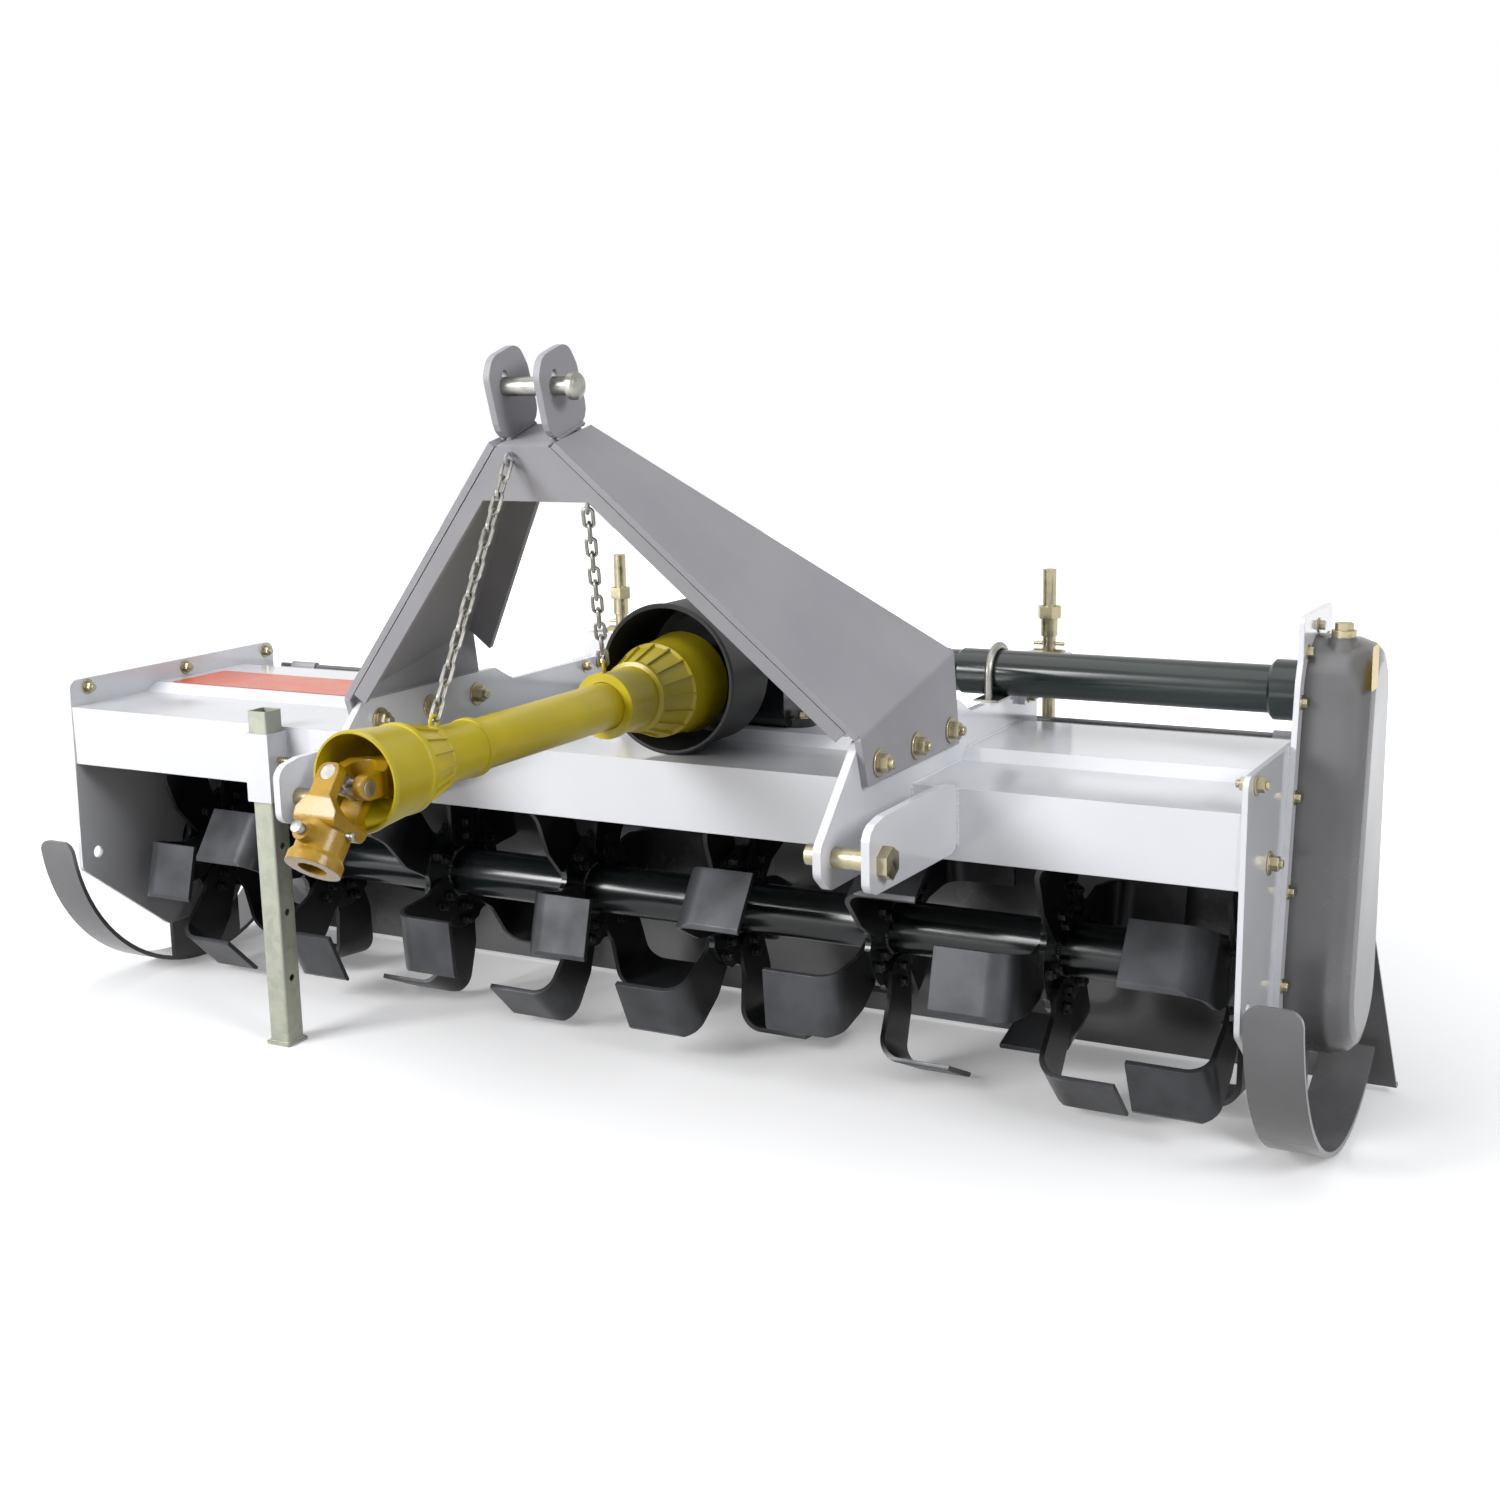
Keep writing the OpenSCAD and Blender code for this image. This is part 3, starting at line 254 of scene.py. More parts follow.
def grain_group():
    """Blotches and fine grain, each from nought to one, on the piece's own coordinates."""
    group, given, out = new_group(
        "surface_grain",
        [("Blotch Scale", "NodeSocketFloat", 6.0), ("Grain Scale", "NodeSocketFloat", 900.0)],
        [("Blotch", "NodeSocketFloat"), ("Grain", "NodeSocketFloat")])
    place = group.nodes.new("ShaderNodeTexCoord").outputs["Object"]
    for socket, detail in (("Blotch", BLOTCH_DETAIL), ("Grain", GRAIN_DETAIL)):
        made = noise_in(group, place, given.outputs[socket + " Scale"], detail)
        group.links.new(made, out.inputs[socket])
    return group


def dust_group():
    """How much dust lies at a point: more on faces that look up, in loose patches."""
    group, given, out = new_group(
        "settled_dust", [("Patch Scale", "NodeSocketFloat", 9.0)], [("Dust", "NodeSocketFloat")])
    place = group.nodes.new("ShaderNodeTexCoord").outputs["Object"]
    split = group.nodes.new("ShaderNodeSeparateXYZ")
    group.links.new(group.nodes.new("ShaderNodeNewGeometry").outputs["Normal"], split.inputs[0])
    facing_up = ranged(group, split.outputs["Z"], 0.2, 1.0, 0.15, 1.0)
    patches = ranged(group, noise_in(group, place, given.outputs["Patch Scale"], DUST_DETAIL), 0.42, 0.72)
    group.links.new(math_in(group, "MULTIPLY", facing_up, patches), out.inputs["Dust"])
    return group


GRAIN, DUST = grain_group(), dust_group()
print("groups:", GRAIN.name, DUST.name)

# %% [markdown]
# Paint is thin on sharp edges and rubs off there first, and a real edge is never quite sharp. Bevelling
# every edge of the solids would change them. The Bevel node only turns the normal near an edge, and
# where that normal differs from the face's own, an edge is near.

# %% Worn edges
BEVEL_SAMPLES = 3


def edge_group():
    """A rounded normal near sharp edges, and how near an edge a point is, broken up by noise."""
    group, given, out = new_group(
        "worn_edges", [("Width", "NodeSocketFloat", 0.0015)],
        [("Edge", "NodeSocketFloat"), ("Rounded", "NodeSocketVector")])
    bevel = group.nodes.new("ShaderNodeBevel")
    bevel.samples = BEVEL_SAMPLES
    group.links.new(given.outputs["Width"], bevel.inputs["Radius"])
    dot = group.nodes.new("ShaderNodeVectorMath")
    dot.operation = "DOT_PRODUCT"
    group.links.new(bevel.outputs["Normal"], dot.inputs[0])
    group.links.new(group.nodes.new("ShaderNodeNewGeometry").outputs["Normal"], dot.inputs[1])
    near = ranged(group, dot.outputs["Value"], 0.98, 0.8)
    place = group.nodes.new("ShaderNodeTexCoord").outputs["Object"]
    rubbed = ranged(group, noise_in(group, place, 55.0, 5.0), 0.38, 0.62)
    group.links.new(math_in(group, "MULTIPLY", near, rubbed), out.inputs["Edge"])
    group.links.new(bevel.outputs["Normal"], out.inputs["Rounded"])
    return group


EDGES = edge_group()
print("group:", EDGES.name)

# %% [markdown]
# Soil scours the tines, most at their tips, and the parking leg shows the crystals of hot-dip zinc.
# A painted mask could show both. Here the tines' wear follows the distance from the rotor's axis, and
# the crystals are the cells of a Voronoi texture.

# %% Worn tips and zinc crystals


def tip_group():
    """How bare a tine is: nothing at the flange, worn to steel towards its tip."""
    group, given, out = new_group(
        "worn_tips", [("Axis", "NodeSocketVector", (0, 0, 0)), ("From", "NodeSocketFloat", 0.17),
                      ("To", "NodeSocketFloat", 0.205)], [("Wear", "NodeSocketFloat")])
    place = group.nodes.new("ShaderNodeTexCoord").outputs["Object"]
    from_axis = group.nodes.new("ShaderNodeVectorMath")
    from_axis.operation = "SUBTRACT"
    group.links.new(place, from_axis.inputs[0])
    group.links.new(given.outputs["Axis"], from_axis.inputs[1])
    across = group.nodes.new("ShaderNodeVectorMath")
    across.operation = "MULTIPLY"
    across.inputs[1].default_value = (0, 1, 1)
    group.links.new(from_axis.outputs[0], across.inputs[0])
    radius = group.nodes.new("ShaderNodeVectorMath")
    radius.operation = "LENGTH"
    group.links.new(across.outputs[0], radius.inputs[0])
    reach = group.nodes.new("ShaderNodeMapRange")
    group.links.new(radius.outputs["Value"], reach.inputs["Value"])
    group.links.new(given.outputs["From"], reach.inputs["From Min"])
    group.links.new(given.outputs["To"], reach.inputs["From Max"])
    patches = ranged(group, noise_in(group, place, 14.0, 7.0), 0.3, 0.6, 0.45, 1.0)
    group.links.new(math_in(group, "MULTIPLY", reach.outputs["Result"], patches), out.inputs["Wear"])
    return group


def spangle_group():
    """The crystal pattern of hot-dip zinc: flat cells, each with its own brightness."""
    group, given, out = new_group(
        "zinc_spangle", [("Cell Scale", "NodeSocketFloat", 90.0)], [("Spangle", "NodeSocketFloat")])
    cells = group.nodes.new("ShaderNodeTexVoronoi")
    group.links.new(group.nodes.new("ShaderNodeTexCoord").outputs["Object"], cells.inputs["Vector"])
    group.links.new(given.outputs["Cell Scale"], cells.inputs["Scale"])
    split = group.nodes.new("ShaderNodeSeparateColor")
    group.links.new(cells.outputs["Color"], split.inputs[0])
    group.links.new(split.outputs[0], out.inputs["Spangle"])
    return group


TIPS, SPANGLE = tip_group(), spangle_group()
print("groups:", TIPS.name, SPANGLE.name)

# %% [markdown]
# Every finish is made in one way. It mixes a light and a dark shade of its colour by the blotches,
# varies its gloss the same way, lets dust and rubbed edges show through, and lifts the grain a little
# as bump on the rounded normal. One function holds that recipe, so a finish is only a few numbers.

# %% The recipe of a finish, and the paints
DUST_COLOUR = (0.46, 0.42, 0.36)
BLOTCH_LOW, BLOTCH_HIGH = 0.3, 0.7
RUBBED_SHARE, RUBBED_LIFT = 1.35, 0.02
COAT_ROUGHNESS = 0.12


def use_group(tree, group, **values):
    node = tree.nodes.new("ShaderNodeGroup")
    node.node_tree = group
    for socket, value in values.items():
        node.inputs[socket.replace("_", " ")].default_value = value
    return node


def blended(tree, factor, first, second):
    """A colour that goes from first to second by the factor; either may be a colour or a socket."""
    mix = tree.nodes.new("ShaderNodeMix")
    mix.data_type = "RGBA"
    tree.links.new(factor, mix.inputs["Factor"])
    for socket, value in (("A", first), ("B", second)):
        if isinstance(value, tuple):
            mix.inputs[socket].default_value = (*value, 1)
        else:
            tree.links.new(value, mix.inputs[socket])
    return mix.outputs["Result"]


def finish(name, light, dark, gloss, metallic=0.0, specular=0.5, blotch=6.0, grain=900.0, bump=0.05,
           depth=0.0004, coat=0.0, dust=0.08, edge=0.3, edge_colour=None, edge_width=0.0015):
    material = bpy.data.materials.new(name)
    material.use_nodes = True
    tree = material.node_tree
    shader = tree.nodes["Principled BSDF"]
    for socket, value in (("Metallic", metallic), ("Specular IOR Level", specular), ("Coat Weight", coat),
                          ("Coat Roughness", COAT_ROUGHNESS)):
        shader.inputs[socket].default_value = value
    effect = use_group(tree, GRAIN, Blotch_Scale=blotch, Grain_Scale=grain)
    worn = use_group(tree, EDGES, Width=edge_width)
    dusty = math_in(tree, "MULTIPLY", use_group(tree, DUST).outputs["Dust"], dust)
    shade = blended(tree, ranged(tree, effect.outputs["Blotch"], BLOTCH_LOW, BLOTCH_HIGH), dark, light)
    rubbed = edge_colour or tuple(min(1.0, c * RUBBED_SHARE + RUBBED_LIFT) for c in light)
    shade = blended(tree, math_in(tree, "MULTIPLY", worn.outputs["Edge"], edge), shade, rubbed)
    tree.links.new(blended(tree, dusty, shade, DUST_COLOUR), shader.inputs["Base Color"])
    rough = ranged(tree, effect.outputs["Blotch"], BLOTCH_LOW, BLOTCH_HIGH, *gloss)
    tree.links.new(math_in(tree, "ADD", rough, dusty), shader.inputs["Roughness"])
    lift = tree.nodes.new("ShaderNodeBump")
    lift.inputs["Strength"].default_value = bump
    lift.inputs["Distance"].default_value = depth
    tree.links.new(effect.outputs["Grain"], lift.inputs["Height"])
    tree.links.new(worn.outputs["Rounded"], lift.inputs["Normal"])
    tree.links.new(lift.outputs["Normal"], shader.inputs["Normal"])
    return material


PAINTS = {
    "white_paint": dict(light=(0.72, 0.73, 0.765), dark=(0.68, 0.69, 0.73), gloss=(0.1, 0.18),
                        coat=0.5, grain=420.0),
    "grey_paint": dict(light=(0.36, 0.355, 0.38), dark=(0.31, 0.305, 0.33), gloss=(0.52, 0.62),
                       metallic=0.1, specular=0.3, grain=1600.0, bump=0.08, edge=0.5, dust=0.05),
    "black_paint": dict(light=(0.008, 0.012, 0.013), dark=(0.005, 0.008, 0.009), gloss=(0.16, 0.28),
                        dust=0.015, coat=0.2, edge_colour=(0.04, 0.045, 0.045)),
    "green_black_paint": dict(light=(0.006, 0.014, 0.013), dark=(0.004, 0.010, 0.009), gloss=(0.14, 0.24),
                              dust=0.015, coat=0.2, edge_colour=(0.03, 0.05, 0.05)),
    "yellow_plastic": dict(light=(0.56, 0.44, 0.005), dark=(0.43, 0.345, 0.005), gloss=(0.28, 0.4),
                           blotch=9.0, grain=700.0, bump=0.1, edge=0.25, dust=0.04),
    "yellow_cast": dict(light=(0.43, 0.245, 0.004), dark=(0.27, 0.15, 0.003), gloss=(0.2, 0.32),
                        blotch=22.0, grain=380.0, bump=0.4, depth=0.0008, edge_width=0.003, dust=0.04),
}
finishes = {slot: finish(slot, **look) for slot, look in PAINTS.items()}
print("paints:", len(finishes))

# %% [markdown]
# Bolts, rods and chains are plated, the leg is galvanised and the tines are black spring steel.
# Plating is metal in the shader, and its blotches are small, as on parts from a zinc bath. The wear
# and the crystals are laid over the finished colour, so that the recipe stays the same for all.

# %% Plated and bare metals
METALS = {
    "zinc": dict(light=(0.46, 0.41, 0.27), dark=(0.33, 0.295, 0.20), gloss=(0.24, 0.4), metallic=1.0,
                 blotch=60.0, edge=0.15),
    "bright_zinc": dict(light=(0.38, 0.37, 0.34), dark=(0.25, 0.245, 0.225), gloss=(0.28, 0.45),
                        metallic=1.0, blotch=60.0, edge=0.15),
    "galvanised": dict(light=(0.40, 0.42, 0.35), dark=(0.32, 0.34, 0.28), gloss=(0.34, 0.5), metallic=0.4,
                       blotch=34.0, edge=0.2),
    "tine_steel": dict(light=(0.010, 0.010, 0.011), dark=(0.006, 0.006, 0.007), gloss=(0.28, 0.4),
                       specular=0.3, dust=0.02, edge=0.6, edge_colour=(0.16, 0.16, 0.16), edge_width=0.002),
}
BARE_STEEL, BARE_METALLIC = (0.08, 0.083, 0.09), 0.5
CRYSTAL_COLOUR, CRYSTAL_SHARE = (0.50, 0.50, 0.385), 0.45
finishes.update({slot: finish(slot, **look) for slot, look in METALS.items()})


def wear_to(material, mask, colour, metallic=None):
    """Lets another colour, and its metal, show through a finish where the mask says so."""
    tree = material.node_tree
    shader = tree.nodes["Principled BSDF"]
    under = shader.inputs["Base Color"].links[0].from_socket
    tree.links.new(blended(tree, mask, under, colour), shader.inputs["Base Color"])
    if metallic:
        tree.links.new(ranged(tree, mask, 0.0, 1.0, 0.0, metallic), shader.inputs["Metallic"])


rotor_low, rotor_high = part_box("rotor_shaft")
ROTOR = (rotor_low + rotor_high) / 2
tine_wear = use_group(finishes["tine_steel"].node_tree, TIPS, Axis=ROTOR)
wear_to(finishes["tine_steel"], tine_wear.outputs["Wear"], BARE_STEEL, BARE_METALLIC)
galvanised = finishes["galvanised"].node_tree
spangle = use_group(galvanised, SPANGLE, Cell_Scale=70.0)
crystals = ranged(galvanised, spangle.outputs["Spangle"], 0.0, 1.0, 0.0, CRYSTAL_SHARE)
wear_to(finishes["galvanised"], crystals, CRYSTAL_COLOUR)
print("finishes:", len(finishes))

# %% [markdown]
# Each piece gets the finish of its slot in the record. A few differ from their neighbours: the input
# shield is dull rubber; the skids and the flap are a darker grey than the mast, a painted shade for their
# place low under the hood; and the chain case's cover is a pressing with wide soft corners, which a wide
# rounded normal gives, and its darker grey is painted shade on its glossy walls.

# %% Paint the pieces
for sub in frame["record"]["subparts"]:
    node = nodes[sub["node"]]
    node.data.materials.clear()
    node.data.materials.append(finishes[sub["material_slot"]])
nodes["input_shield"].data.materials[0] = finish(
    "black_rubber", (0.010, 0.010, 0.009), (0.006, 0.006, 0.006), (0.45, 0.6), dust=0.02)
# A darker grey for the skids, their webs and the flap: painted shade for where they sit, low and under the
# hood.
painted_shade_grey = finish("painted_shade_grey_paint", (0.16, 0.16, 0.165), (0.125, 0.125, 0.13), (0.2, 0.3), metallic=0.1,
                   coat=0.2, grain=1200.0, edge=0.45, dust=0.04)
for piece_name in ("skids", "skid_webs", "flap"):
    nodes[piece_name].data.materials[0] = painted_shade_grey
# The cover's darker grey is painted shade for its glossy walls in shadow; the wide rounded normal smooths
# its corners.
nodes["chain_case_cover"].data.materials[0] = finish(
    "case_painted_shade", (0.15, 0.15, 0.155), (0.12, 0.12, 0.125), (0.2, 0.3), metallic=0.1, coat=0.3,
    grain=1200.0, edge=0.12, edge_width=0.016, dust=0.04)
print("painted:", len(nodes))

# %% [markdown]
# Bolts hold the mast feet, the end plates, the chain case, the rod brackets and every tine. A bolt is
# a washer, a hexagon whose top corners are turned off, and the end of the thread. It could be one
# spun outline, but a hexagon isn't round. So each of the three parts starts as a cylinder of its own,
# the hexagon as one with six sides, and its sharp rims are bevelled.

# %% One bolt
WASHER_T, WASHER_RIM = 0.22, 0.2
CORNER_CUT = 0.16
THREAD_R, THREAD_RIM = 0.33, 0.05
FACING_UP = 0.9


def pick_faces(bm, test):
    for face in bm.faces:
        face.select_set(test(face))
    bm.select_flush_mode()


def one_bolt(across, head, washer, thread):
    """A bolt along +Z that sits on the plane z = 0, by its washer."""
    washer_t = head * WASHER_T
    deselect_everything()
    bpy.ops.mesh.primitive_cylinder_add(vertices=6, radius=across / math.sqrt(3), depth=head,
                                        location=(0, 0, washer_t + head / 2))
    bolt = bpy.context.object
    bpy.ops.object.transform_apply(location=True)
    bpy.ops.object.mode_set(mode="EDIT")
    bpy.ops.mesh.select_mode(type="FACE")
    bm = bmesh.from_edit_mesh(bolt.data)
    pick_faces(bm, lambda face: face.normal.z > FACING_UP)
    bmesh.update_edit_mesh(bolt.data)
    bpy.ops.mesh.bevel(offset=head * CORNER_CUT, segments=2, affect="EDGES")
    bpy.ops.mesh.select_all(action="DESELECT")
    if thread:
        bpy.ops.mesh.primitive_cylinder_add(vertices=16, radius=across * THREAD_R, depth=thread,
                                            location=(0, 0, washer_t + head + thread / 2))
        bpy.ops.mesh.bevel(offset=across * THREAD_RIM, segments=1, affect="EDGES")
        bpy.ops.mesh.select_all(action="DESELECT")
    bpy.ops.mesh.primitive_cylinder_add(vertices=24, radius=washer / 2, depth=washer_t,
                                        location=(0, 0, washer_t / 2))
    bpy.ops.mesh.bevel(offset=washer_t * WASHER_RIM, segments=1, affect="EDGES")
    bpy.ops.object.mode_set(mode="OBJECT")
    return bolt


print("a washer is", WASHER_T, "of its bolt's head")

# %% [markdown]
# A group of like bolts is one piece. The bolt is modelled once, copied to each place as a mesh of its
# own, turned a little further each time, as spanners leave them, and the copies are joined. The mast
# feet, the end plates and the rod brackets have bolts that go through: a head outside, a nut inside.

# %% Bolts on the mast, the end plates and the rod brackets
BOLT_TURN = 1.1
SMOOTH_ANGLE = math.radians(35)
RIB, MAST_SHEET, TONGUE = 0.012, 0.010, 0.010
SIDES = (-1, 1)


def set_on(place, axis, spin):
    """The move that carries a piece from the origin, along +Z, to a place, along an axis."""
    turn = Vector((0, 0, 1)).rotation_difference(Vector(axis).normalized()).to_matrix().to_4x4()
    return Matrix.Translation(place) @ turn @ Matrix.Rotation(spin, 4, "Z")


def bolt_group(name, body, places, across, thread=0.0, head_share=0.62, washer_share=1.75, slot="zinc"):
    pattern = one_bolt(across, across * head_share, across * washer_share, thread)
    copies = []
    for i, (place, axis) in enumerate(places):
        copy = bpy.data.objects.new(f"{name}_{i}", pattern.data.copy())
        copy.data.transform(set_on(place, axis, i * BOLT_TURN))
        bpy.context.scene.collection.objects.link(copy)
        copies.append(copy)
    bpy.data.objects.remove(pattern)
    deselect_everything()
    for copy in copies:
        copy.select_set(True)
    bpy.context.view_layer.objects.active = copies[0]
    bpy.ops.object.join()
    group = bpy.context.object
    group.name = group.data.name = name
    bpy.ops.object.shade_smooth_by_angle(angle=SMOOTH_ANGLE)
    group.data.materials.append(finishes[slot])
    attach(group, body)
    print(name, len(copies), "bolts,", len(group.data.polygons), "faces")


def at_lip(x, y, z):
    """A point whose depth is measured from the hood's front lip."""
    return Vector((x, y + LIP_Y, z))


def through(x_in, x_out, y, z, side):
    """A bolt through a plate that stands across X: the head on its outside, the nut on its inside."""
    return [(at_lip(x_out, y, z), (side, 0, 0)), (at_lip(x_in, y, z), (-side, 0, 0))]


def flat(lists):
    return [item for group in lists for item in group]


HITCH_X = (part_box("hitch_ribs")[0].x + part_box("hitch_ribs")[1].x) / 2
rib_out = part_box("hitch_ribs")[1].x - HITCH_X
rib_in = rib_out - RIB


def through_ribs(sheet, ys, z):
    """Bolts through both ribs and a sheet that lies on their outside."""
    return flat(through(HITCH_X + side * rib_in, HITCH_X + side * (rib_out + sheet), y, z, side)
                for side in SIDES for y in ys)


bolt_group("mast_foot_bolts", "frame", through_ribs(MAST_SHEET, (-0.133, -0.008, 0.115), 0.602), 0.022,
           thread=0.006)
plate_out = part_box("side_plate_right")[1].x
plate_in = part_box("side_plate_right")[0].x
END_BOLTS = {-1: (0.040, 0.283, 0.505), 1: (0.040,)}
END_BOLT_Z = 0.576
bolt_group("end_plate_bolts", "frame",
           flat(through(side * plate_in, side * plate_out, y, END_BOLT_Z, side)
                for side in SIDES for y in END_BOLTS[side]),
           0.017, thread=0.005, washer_share=1.6)
bolt_group("rod_bracket_bolts", "frame", through_ribs(TONGUE, (0.440, 0.486), 0.600), 0.015,
           thread=0.004, washer_share=1.5)

# %% [markdown]
# The chain case's cover is held by a ring of bolts on the white plate's rim. They could be placed one
# by one, but they follow the case's outline: two arcs about its two shafts and the straight lines
# between them.

# %% Bolts round the chain case
LOW_SHAFT, TOP_SHAFT = Vector((0.295, 0.240)), Vector((0.335, 0.650))
LOW_END, TOP_END = 0.108, 0.084
REARWARD = 1 / 8
RIM_HALF = 0.0115
case_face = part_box("chain_case_plate")[1].x
LOW_CENTRE = LOW_SHAFT + Vector((LOW_END * REARWARD, 0))
TOP_CENTRE = TOP_SHAFT + Vector((TOP_END * REARWARD, 0))
LOW_RADIUS, TOP_RADIUS = LOW_END + RIM_HALF, TOP_END + RIM_HALF
lean = math.atan2(TOP_CENTRE.x - LOW_CENTRE.x, TOP_CENTRE.y - LOW_CENTRE.y)


def beside_the_case(share_up, side):
    """A point on the rim: share_up runs from the lower shaft's height to the upper shaft's."""
    centre = LOW_CENTRE.lerp(TOP_CENTRE, share_up)
    radius = LOW_RADIUS + (TOP_RADIUS - LOW_RADIUS) * share_up
    return centre + radius * side * Vector((math.cos(lean), -math.sin(lean)))


def round_an_end(centre, radius, degrees):
    angle = math.radians(degrees)
    return centre + radius * Vector((math.cos(angle), math.sin(angle)))


rim = [beside_the_case(share, side) for side in SIDES for share in (0.02, 0.34, 0.66, 0.98)]
rim += [round_an_end(LOW_CENTRE, LOW_RADIUS, degrees) for degrees in (-150, -110, -70, -30)]
rim += [round_an_end(TOP_CENTRE, TOP_RADIUS, degrees) for degrees in (45, 90, 135)]
bolt_group("chain_case_bolts", "frame", [(at_lip(case_face, *p), (1, 0, 0)) for p in rim], 0.012)
bolt_group("case_mounting_bolts", "frame", [(at_lip(plate_out, 0.125, 0.451), (1, 0, 0))], 0.019,
           thread=0.005)

# %% [markdown]
# Each tine is bolted to its flange with two bolts: the heads sit on the tine and the nuts on the
# flange's far side. Setting 192 places by hand would be slow, so they come from the rotor's own
# pattern, a flange at a time. They turn with the rotor, so they ride on its body.

# %% Tine bolts
FLANGES, TINES_EACH = 8, 6
FLANGE_T, TINE_T = 0.010, 0.008
FIRST_TURN, TURN_BACK = 40, 20
HOLE_RADII = (0.064, 0.090)
flange_reach = (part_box("rotor_flanges")[1].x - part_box("rotor_flanges")[0].x - FLANGE_T) / 2


def flange_x(i):
    return -flange_reach + i * 2 * flange_reach / (FLANGES - 1)


def tine_side(flange, tine):
    """The end flanges carry their tines on the inside, the others on both sides by turns."""
    if flange == 0:
        return 1
    return -1 if flange == FLANGES - 1 or tine % 2 else 1


tine_bolts, tine_nuts = [], []
for flange in range(FLANGES):
    for tine in range(TINES_EACH):
        turn = math.radians(FIRST_TURN - TURN_BACK * flange + 360 / TINES_EACH * tine)
        side = tine_side(flange, tine)
        for radius in HOLE_RADII:
            hole = ROTOR + Vector((flange_x(flange), -math.sin(turn) * radius, math.cos(turn) * radius))
            tine_bolts.append((hole + Vector((side * (FLANGE_T / 2 + TINE_T), 0, 0)), (side, 0, 0)))
            tine_nuts.append((hole - Vector((side * FLANGE_T / 2, 0, 0)), (-side, 0, 0)))
bolt_group("tine_bolts", "rotor", tine_bolts, 0.015, washer_share=1.3, slot="tine_steel")
bolt_group("tine_nuts", "rotor", tine_nuts, 0.015, thread=0.004, washer_share=1.3, slot="tine_steel")

# %% [markdown]
# The gearbox is closed by bolted covers: a lid on top, a cap on the left and the cross tube's
# flange on the right, and its base is bolted to the deck. Round covers take a ring of bolts and square
# ones a bolt in each corner, so two small functions place them all.

# %% Gearbox bolts
DECK_TOP = 0.560
GEARBOX_Y, GEARBOX_HALF, GEARBOX_H = 0.335, 0.105, 0.200
CAP_T, BASE_T, TUBE_FLANGE_T = 0.014, 0.014, 0.014
RING_BOLTS = 6


def ring_places(x, way, radius):
    """A ring of bolts about the gearbox's cross shaft, which is in line with the case's upper end."""
    turns = [360 * (i + 0.5) / RING_BOLTS for i in range(RING_BOLTS)]
    return [(at_lip(x, *round_an_end(TOP_CENTRE, radius, degrees)), (way, 0, 0)) for degrees in turns]


def corner_places(half_x, half_y, z):
    return [(at_lip(HITCH_X + half_x * i, GEARBOX_Y + half_y * k, z), (0, 0, 1))
            for i in SIDES for k in SIDES]


box_bolts = ring_places(HITCH_X - GEARBOX_HALF - CAP_T, -1, 0.060)
box_bolts += ring_places(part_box("cross_tube")[0].x + TUBE_FLANGE_T, 1, 0.045)
box_bolts += corner_places(0.120, 0.078, DECK_TOP + BASE_T)
box_bolts += corner_places(0.058, 0.052, DECK_TOP + GEARBOX_H)
bolt_group("gearbox_bolts", "frame", box_bolts, 0.014)

# %% [markdown]
# The hitch plates, the ears, the leg's sleeve and the rotor's flanges are welded. A weld could be a
# plain round bead, but a hand weld is a row of small frozen pools that overlap. One pool is a ball
# pressed flat along the run; copies of it, each a little larger or smaller, follow every seam.

# %% Weld beads on the hitch
POOL_SHAPE, POOL_LEAN = (0.5, 1.0, 0.85), math.radians(20)
POOL_STEP, POOL_UNEVEN, POOL_WAVE = 0.8, 0.15, 2.4


def one_pool(size):
    deselect_everything()
    bpy.ops.mesh.primitive_uv_sphere_add(segments=6, ring_count=4, radius=size)
    pool = bpy.context.object
    bpy.ops.object.mode_set(mode="EDIT")
    bpy.ops.mesh.select_all(action="SELECT")
    bpy.ops.transform.resize(value=POOL_SHAPE)
    bpy.ops.transform.rotate(value=POOL_LEAN, orient_axis="Y", center_override=(0, 0, 0))
    bpy.ops.object.mode_set(mode="OBJECT")
    return pool


def weld_group(name, body, seams, size, slot):
    pattern = one_pool(size)
    joined = bmesh.new()
    count = 0
    for start, end in seams:
        run = end - start
        turn = run.to_track_quat("X", "Z").to_matrix().to_4x4()
        steps = max(2, round(run.length / (size * POOL_STEP)))
        for i in range(steps + 1):
            copy = pattern.data.copy()
            uneven = Matrix.Scale(1 + POOL_UNEVEN * math.sin(POOL_WAVE * count), 4)
            copy.transform(Matrix.Translation(start + run * (i / steps)) @ turn @ uneven)
            joined.from_mesh(copy)
            bpy.data.meshes.remove(copy)
            count += 1
    bpy.data.objects.remove(pattern)
    mesh = bpy.data.meshes.new(name)
    joined.to_mesh(mesh)
    joined.free()
    mesh.materials.append(finishes[slot])
    bead = bpy.data.objects.new(name, mesh)
    bpy.context.scene.collection.objects.link(bead)
    deselect_everything()
    bead.select_set(True)
    bpy.context.view_layer.objects.active = bead
    bpy.ops.object.shade_smooth()
    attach(bead, body)
    print(name, count, "pools")


DECK_FRONT = 0.545
RIB_X, CHEEK_X, PLATE_HALF = 0.412, 0.480, 0.006
LIP_FACE, LIP_WELD_LOW, RIB_WELD_TOP, CHEEK_WELD_TOP = -0.001, 0.464, 0.540, 0.543
FRONT_RUN, TOP_RUN = (0.004, 0.176), (0.208, 0.430)
LEG_X, LEG_Y, LEG_HALF, SLEEVE_HALF = -0.570, -0.0253, 0.020, 0.0253
SLEEVE_WELD = (0.448, 0.536)


def lip_seam(x, low, high):
    return at_lip(x, LIP_FACE, low), at_lip(x, LIP_FACE, high)


def deck_seam(x, run, z):
    return at_lip(x, run[0], z), at_lip(x, run[1], z)


